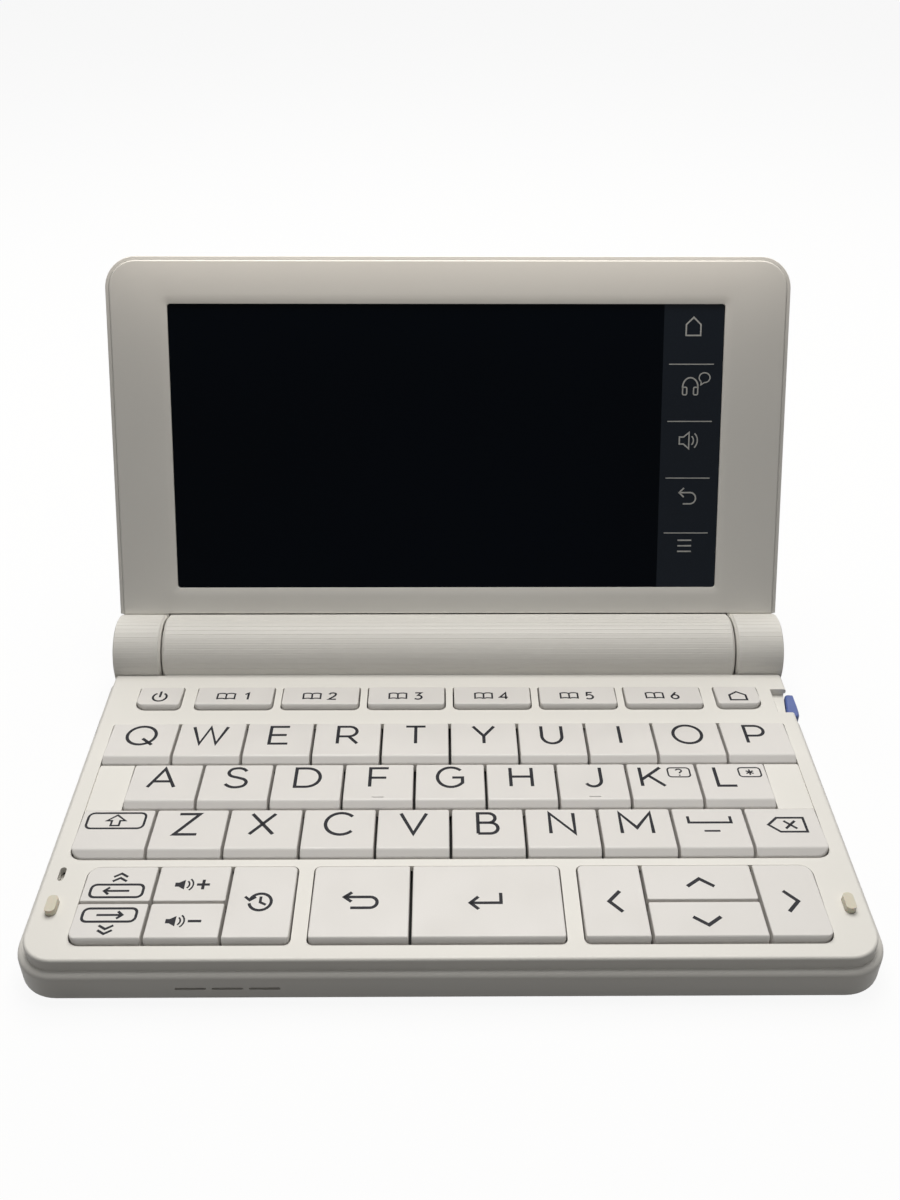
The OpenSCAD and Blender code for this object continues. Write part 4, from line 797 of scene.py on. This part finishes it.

# ---- Silicone sheet and lid stops -----------------------------------------------------------
# One moulded silicone sheet under the keys, with a dome for each; the domes are drawn dark grey
# as painted shade in the deep gaps between the keys. Two small pads of an ivory grade stand in
# the plate and hold the closed lid off it.

STOPS_FROM = KEY_FOOT + 1  # the domes end at the keys' feet, so only the pads reach this height


def silicone(tree, place):
    # Moulded silicone: matt, with a little light inside and dust that greys it in patches of 0.8 mm.
    dust = add(tree, "ShaderNodeTexNoise", {"Vector": place, "Scale": 1 / (0.8 * MM), "Detail": 3.0})
    tone = add(tree, "ShaderNodeMix", {
        "Factor": dust.outputs["Fac"], "A": linear("#D2CCB9"), "B": linear("#DCD6C4")}, data_type="RGBA")
    bump = add(tree, "ShaderNodeBump", {
        "Height": dust.outputs["Fac"], "Strength": 0.2, "Distance": 0.03 * MM})
    return add(tree, "ShaderNodeBsdfPrincipled", {
        "Base Color": tone.outputs["Result"], "Roughness": 0.62, "IOR": 1.41, "Subsurface Weight": 0.15,
        "Subsurface Scale": 1 * MM, "Normal": bump.outputs["Normal"]})


def dome_silicone(tree, place):
    # The domes under the keys: matt dark grey, painted shade for the deep gaps between the keys, with the
    # same 0.8 mm dust.
    dust = add(tree, "ShaderNodeTexNoise", {"Vector": place, "Scale": 1 / (0.8 * MM), "Detail": 3.0})
    tone = add(tree, "ShaderNodeMix", {
        "Factor": dust.outputs["Fac"], "A": linear("#4A4A4A"), "B": linear("#5C5B59")}, data_type="RGBA")
    return add(tree, "ShaderNodeBsdfPrincipled", {
        "Base Color": tone.outputs["Result"], "Roughness": 0.66, "IOR": 1.41})


SILICONE = finish("moulded_silicone_ivory", silicone)
DOMES_PAINTED_SHADE = finish("silicone_domes_painted_shade", dome_silicone)
sheet = cleaned("key_dome_sheet")
# Faces below the pads take the dark grey, which is painted shade in the gaps between the keys
for face in sheet.polygons:
    face.material_index = 0 if face.center.z > STOPS_FROM * MM else 1
break_edges(show("silicone_sheet", sheet, "base", [SILICONE, DOMES_PAINTED_SHADE], "key_dome_sheet"), 0.28, 3)

# ---- Circuit board --------------------------------------------------------------------------
# Glass-epoxy board under the sheet, with the chips on its lower side, the loudspeaker behind the
# front slots, the sockets at the left edge and the spring contacts that reach into the barrel.

BOARD_UNDER, BOARD_TOP = 3.6, 4.6
CONTACTS_FROM = 80.6  # the spring contacts lie behind this
SHELLS_X, SHELLS_REAR = -69.4, 60  # the metal shells lie outside the first and in front of the second
PHONE_X, PHONE_FRONT, PHONE_REAR = -61.5, 63, 69  # the earphone socket's block


def solder_resist(tree, place):
    # Green lacquer over copper tracks about 0.8 mm apart, which show as a lighter green.
    cells_of_tracks = add(tree, "ShaderNodeTexVoronoi", {"Vector": place, "Scale": 1 / (0.8 * MM)},
                          distance="MANHATTAN", feature="DISTANCE_TO_EDGE")
    track = add(tree, "ShaderNodeMapRange", {"Value": cells_of_tracks.outputs["Distance"], "From Max": 0.12})
    tone = add(tree, "ShaderNodeMix", {
        "Factor": track.outputs["Result"], "A": linear("#3E8A5C"), "B": linear("#1F5A3A")}, data_type="RGBA")
    return add(tree, "ShaderNodeBsdfPrincipled", {
        "Base Color": tone.outputs["Result"], "Roughness": 0.25, "IOR": 1.55})


def black_moulding(tree, place):
    # Filled epoxy and glass-filled nylon of the chips and sockets: dark, with a 0.3 mm mottle.
    mottle = add(tree, "ShaderNodeTexNoise", {"Vector": place, "Scale": 1 / (0.3 * MM), "Detail": 2.0})
    tone = add(tree, "ShaderNodeMix", {
        "Factor": mottle.outputs["Fac"], "A": linear("#17181A"), "B": linear("#26272A")}, data_type="RGBA")
    return add(tree, "ShaderNodeBsdfPrincipled", {
        "Base Color": tone.outputs["Result"], "Roughness": 0.45, "IOR": 1.55})


RESIST = finish("solder_resist_green", solder_resist)
MOULDING = finish("black_epoxy_and_nylon", black_moulding)
circuit = cleaned("main_board")
for face in circuit.polygons:
    x, y, z = face.center / MM
    y -= FRONT_Y
    if y > CONTACTS_FROM or (x < SHELLS_X and y < SHELLS_REAR):
        face.material_index = 2
    elif z < BOARD_UNDER - NEAR or z > BOARD_TOP + NEAR or x < PHONE_X and PHONE_FRONT < y < PHONE_REAR:
        face.material_index = 1
show("circuit_board", circuit, "base", [RESIST, MOULDING, NICKEL], "main_board")

# ---- Screws ---------------------------------------------------------------------------------
# Six cross-slot self-tapping screws of rolled steel, zinc plated. They stand in wells in the
# underside and hold the two halves of the case together.


def zinc_plate(tree, place):
    # Zinc over rolled steel: a soft grey metal, cloudy at about 0.5 mm.
    cloud = add(tree, "ShaderNodeTexNoise", {"Vector": place, "Scale": 1 / (0.5 * MM), "Detail": 2.0})
    gloss = add(tree, "ShaderNodeMapRange", {"Value": cloud.outputs["Fac"], "To Min": 0.3, "To Max": 0.5})
    return add(tree, "ShaderNodeBsdfPrincipled", {
        "Base Color": linear("#A9ABAE"), "Metallic": 1.0, "Roughness": gloss.outputs["Result"]})


ZINC = finish("zinc_plated_steel", zinc_plate)
break_edges(show("case_screws", cleaned("screws"), "base", [ZINC], "screws"), 0.12)

# ---- Stylus ---------------------------------------------------------------------------------
# A flat stylus, moulded in blue acetal, in its silo in the right side. Only its head shows, in
# a notch where a fingertip can pull it out.


def blue_acetal(tree, place):
    # Self-coloured acetal: waxy gloss, a faint flow mark along the moulding every 5 mm.
    flow = add(tree, "ShaderNodeTexNoise", {"Vector": place, "Scale": 1 / (5 * MM), "Detail": 2.0})
    tone = add(tree, "ShaderNodeMix", {
        "Factor": flow.outputs["Fac"], "A": linear("#4A5C9C"), "B": linear("#6173B0")}, data_type="RGBA")
    return add(tree, "ShaderNodeBsdfPrincipled", {
        "Base Color": tone.outputs["Result"], "Roughness": 0.32, "IOR": 1.48, "Subsurface Weight": 0.1,
        "Subsurface Scale": 0.5 * MM})


ACETAL = finish("moulded_acetal_blue", blue_acetal)
break_edges(show("touch_stylus", cleaned("stylus"), "stylus", [ACETAL], "stylus"), 0.3, 3)

# ---- Table, light and camera ----------------------------------------------------------------
# A plain pale table under one large soft lamp, which hangs above and a little behind, so that
# the lid's face and the front of the case stand in half light. A thin strip lamp lights the
# lid's upper edge. The view is a phone's.

TABLE_REACH = 6.0  # metres from its middle to each side
TABLE_GAP = 0.02
GLOW_SHARE = 0.92  # of the table's seen white, and the rest of it takes the shadow


def seen_rays(tree):
    """1 for the rays that see a surface, straight or in gloss or glass, and 0 for those that light one."""
    path = add(tree, "ShaderNodeLightPath")
    seen = add(tree, "ShaderNodeMath", {
        0: path.outputs["Is Camera Ray"], 1: path.outputs["Is Glossy Ray"]}, operation="MAXIMUM")
    seen = add(tree, "ShaderNodeMath", {
        0: seen.outputs[0], 1: path.outputs["Is Transmission Ray"]}, operation="MAXIMUM")
    return seen.outputs[0]


def table_top(tree, place):
    # Pale matt board. The camera sees it near white with the object's shadow, and it throws back
    # less light than it seems to, so the shaded faces stay dark.
    seen = seen_rays(tree)
    fibre = add(tree, "ShaderNodeTexNoise", {"Vector": place, "Scale": 1 / (2 * MM), "Detail": 2.0})
    bump = add(tree, "ShaderNodeBump", {
        "Height": fibre.outputs["Fac"], "Strength": 0.05, "Distance": 0.05 * MM})
    tone = add(tree, "ShaderNodeMix", {
        "Factor": seen, "A": linear("#73716E"), "B": linear("#FBFBFA")}, data_type="RGBA")
    board = add(tree, "ShaderNodeBsdfDiffuse", {
        "Color": tone.outputs["Result"], "Normal": bump.outputs["Normal"]})
    glow = add(tree, "ShaderNodeEmission", {"Color": linear("#FFFFFF"), "Strength": 1.0})
    share = add(tree, "ShaderNodeMath", {0: seen, 1: GLOW_SHARE}, operation="MULTIPLY")
    return add(tree, "ShaderNodeMixShader", {0: share.outputs[0], 1: board.outputs[0], 2: glow.outputs[0]})


top = bmesh.new()
bmesh.ops.create_grid(top, x_segments=1, y_segments=1, size=TABLE_REACH)
table_mesh = bpy.data.meshes.new("table")
top.to_mesh(table_mesh)
top.free()
table_mesh.materials.append(finish("pale_table_board", table_top))
table = bpy.data.objects.new("table", table_mesh)
table.location.z = -TABLE_GAP * MM
scene.collection.objects.link(table)


def lamp(name, place, aim, size, watts, colour):
    """A soft rectangular lamp at a place, turned towards another, all in metres."""
    light = bpy.data.lights.new(name, "AREA")
    light.shape = "RECTANGLE"
    light.size, light.size_y = size
    light.energy = watts
    light.color = linear(colour)[:3]
    holder = bpy.data.objects.new(name, light)
    holder.location = place
    holder.rotation_euler = (Vector(aim) - Vector(place)).to_track_quat("-Z", "Y").to_euler()
    scene.collection.objects.link(holder)


LID_EDGE = IN_LID @ Vector((0, 0.084, 0))
OVER_LID_EDGE = IN_LID @ Vector((0, 0.098, 0.011))
lamp("overhead_lamp", place=(0.0, 0.235, 0.59), aim=(0, 0, 0.02), size=(0.45, 0.45), watts=3.95,
     colour="#FFFDF9")
lamp("strip_over_the_lid", place=OVER_LID_EDGE, aim=LID_EDGE, size=(0.16, 0.006), watts=0.008,
     colour="#FFF6EC")

# The room: white where it is seen, and only a dim fill where it lights the object
world = bpy.data.worlds.new("room")
scene.world = world
world.use_nodes = True
room = world.node_tree
room.nodes.clear()
level = add(room, "ShaderNodeMapRange", {"Value": seen_rays(room), "To Min": 0.15, "To Max": 1.0})
sky = add(room, "ShaderNodeBackground", {"Color": linear("#FFFFFF"), "Strength": level.outputs["Result"]})
add(room, "ShaderNodeOutputWorld", {"Surface": sky.outputs[0]})

# The camera: where its lens is, in mm, and how far it looks down, to the right and askew, in
# radians
EYE = (-1.965, -197.611, 177.33)
PITCH, YAW, ROLL = 0.6083, 0.01, 0.0044
view = bpy.data.cameras.new("phone_camera")
view.lens = 35.4
view.sensor_width = 36.0
view.clip_start = 0.005
view.clip_end = 20.0
camera = bpy.data.objects.new("phone_camera", view)
scene.collection.objects.link(camera)
ahead = Vector((math.sin(YAW) * math.cos(PITCH), math.cos(YAW) * math.cos(PITCH), -math.sin(PITCH)))
level_right = Vector((math.cos(YAW), -math.sin(YAW), 0))
level_up = level_right.cross(ahead)
right = level_right * math.cos(ROLL) + level_up * math.sin(ROLL)
upward = level_up * math.cos(ROLL) - level_right * math.sin(ROLL)
turn = Matrix((right, upward, -ahead)).transposed().to_4x4()
camera.matrix_world = Matrix.Translation(Vector(EYE) * MM) @ turn
scene.camera = camera
scene.view_settings.view_transform = "Standard"
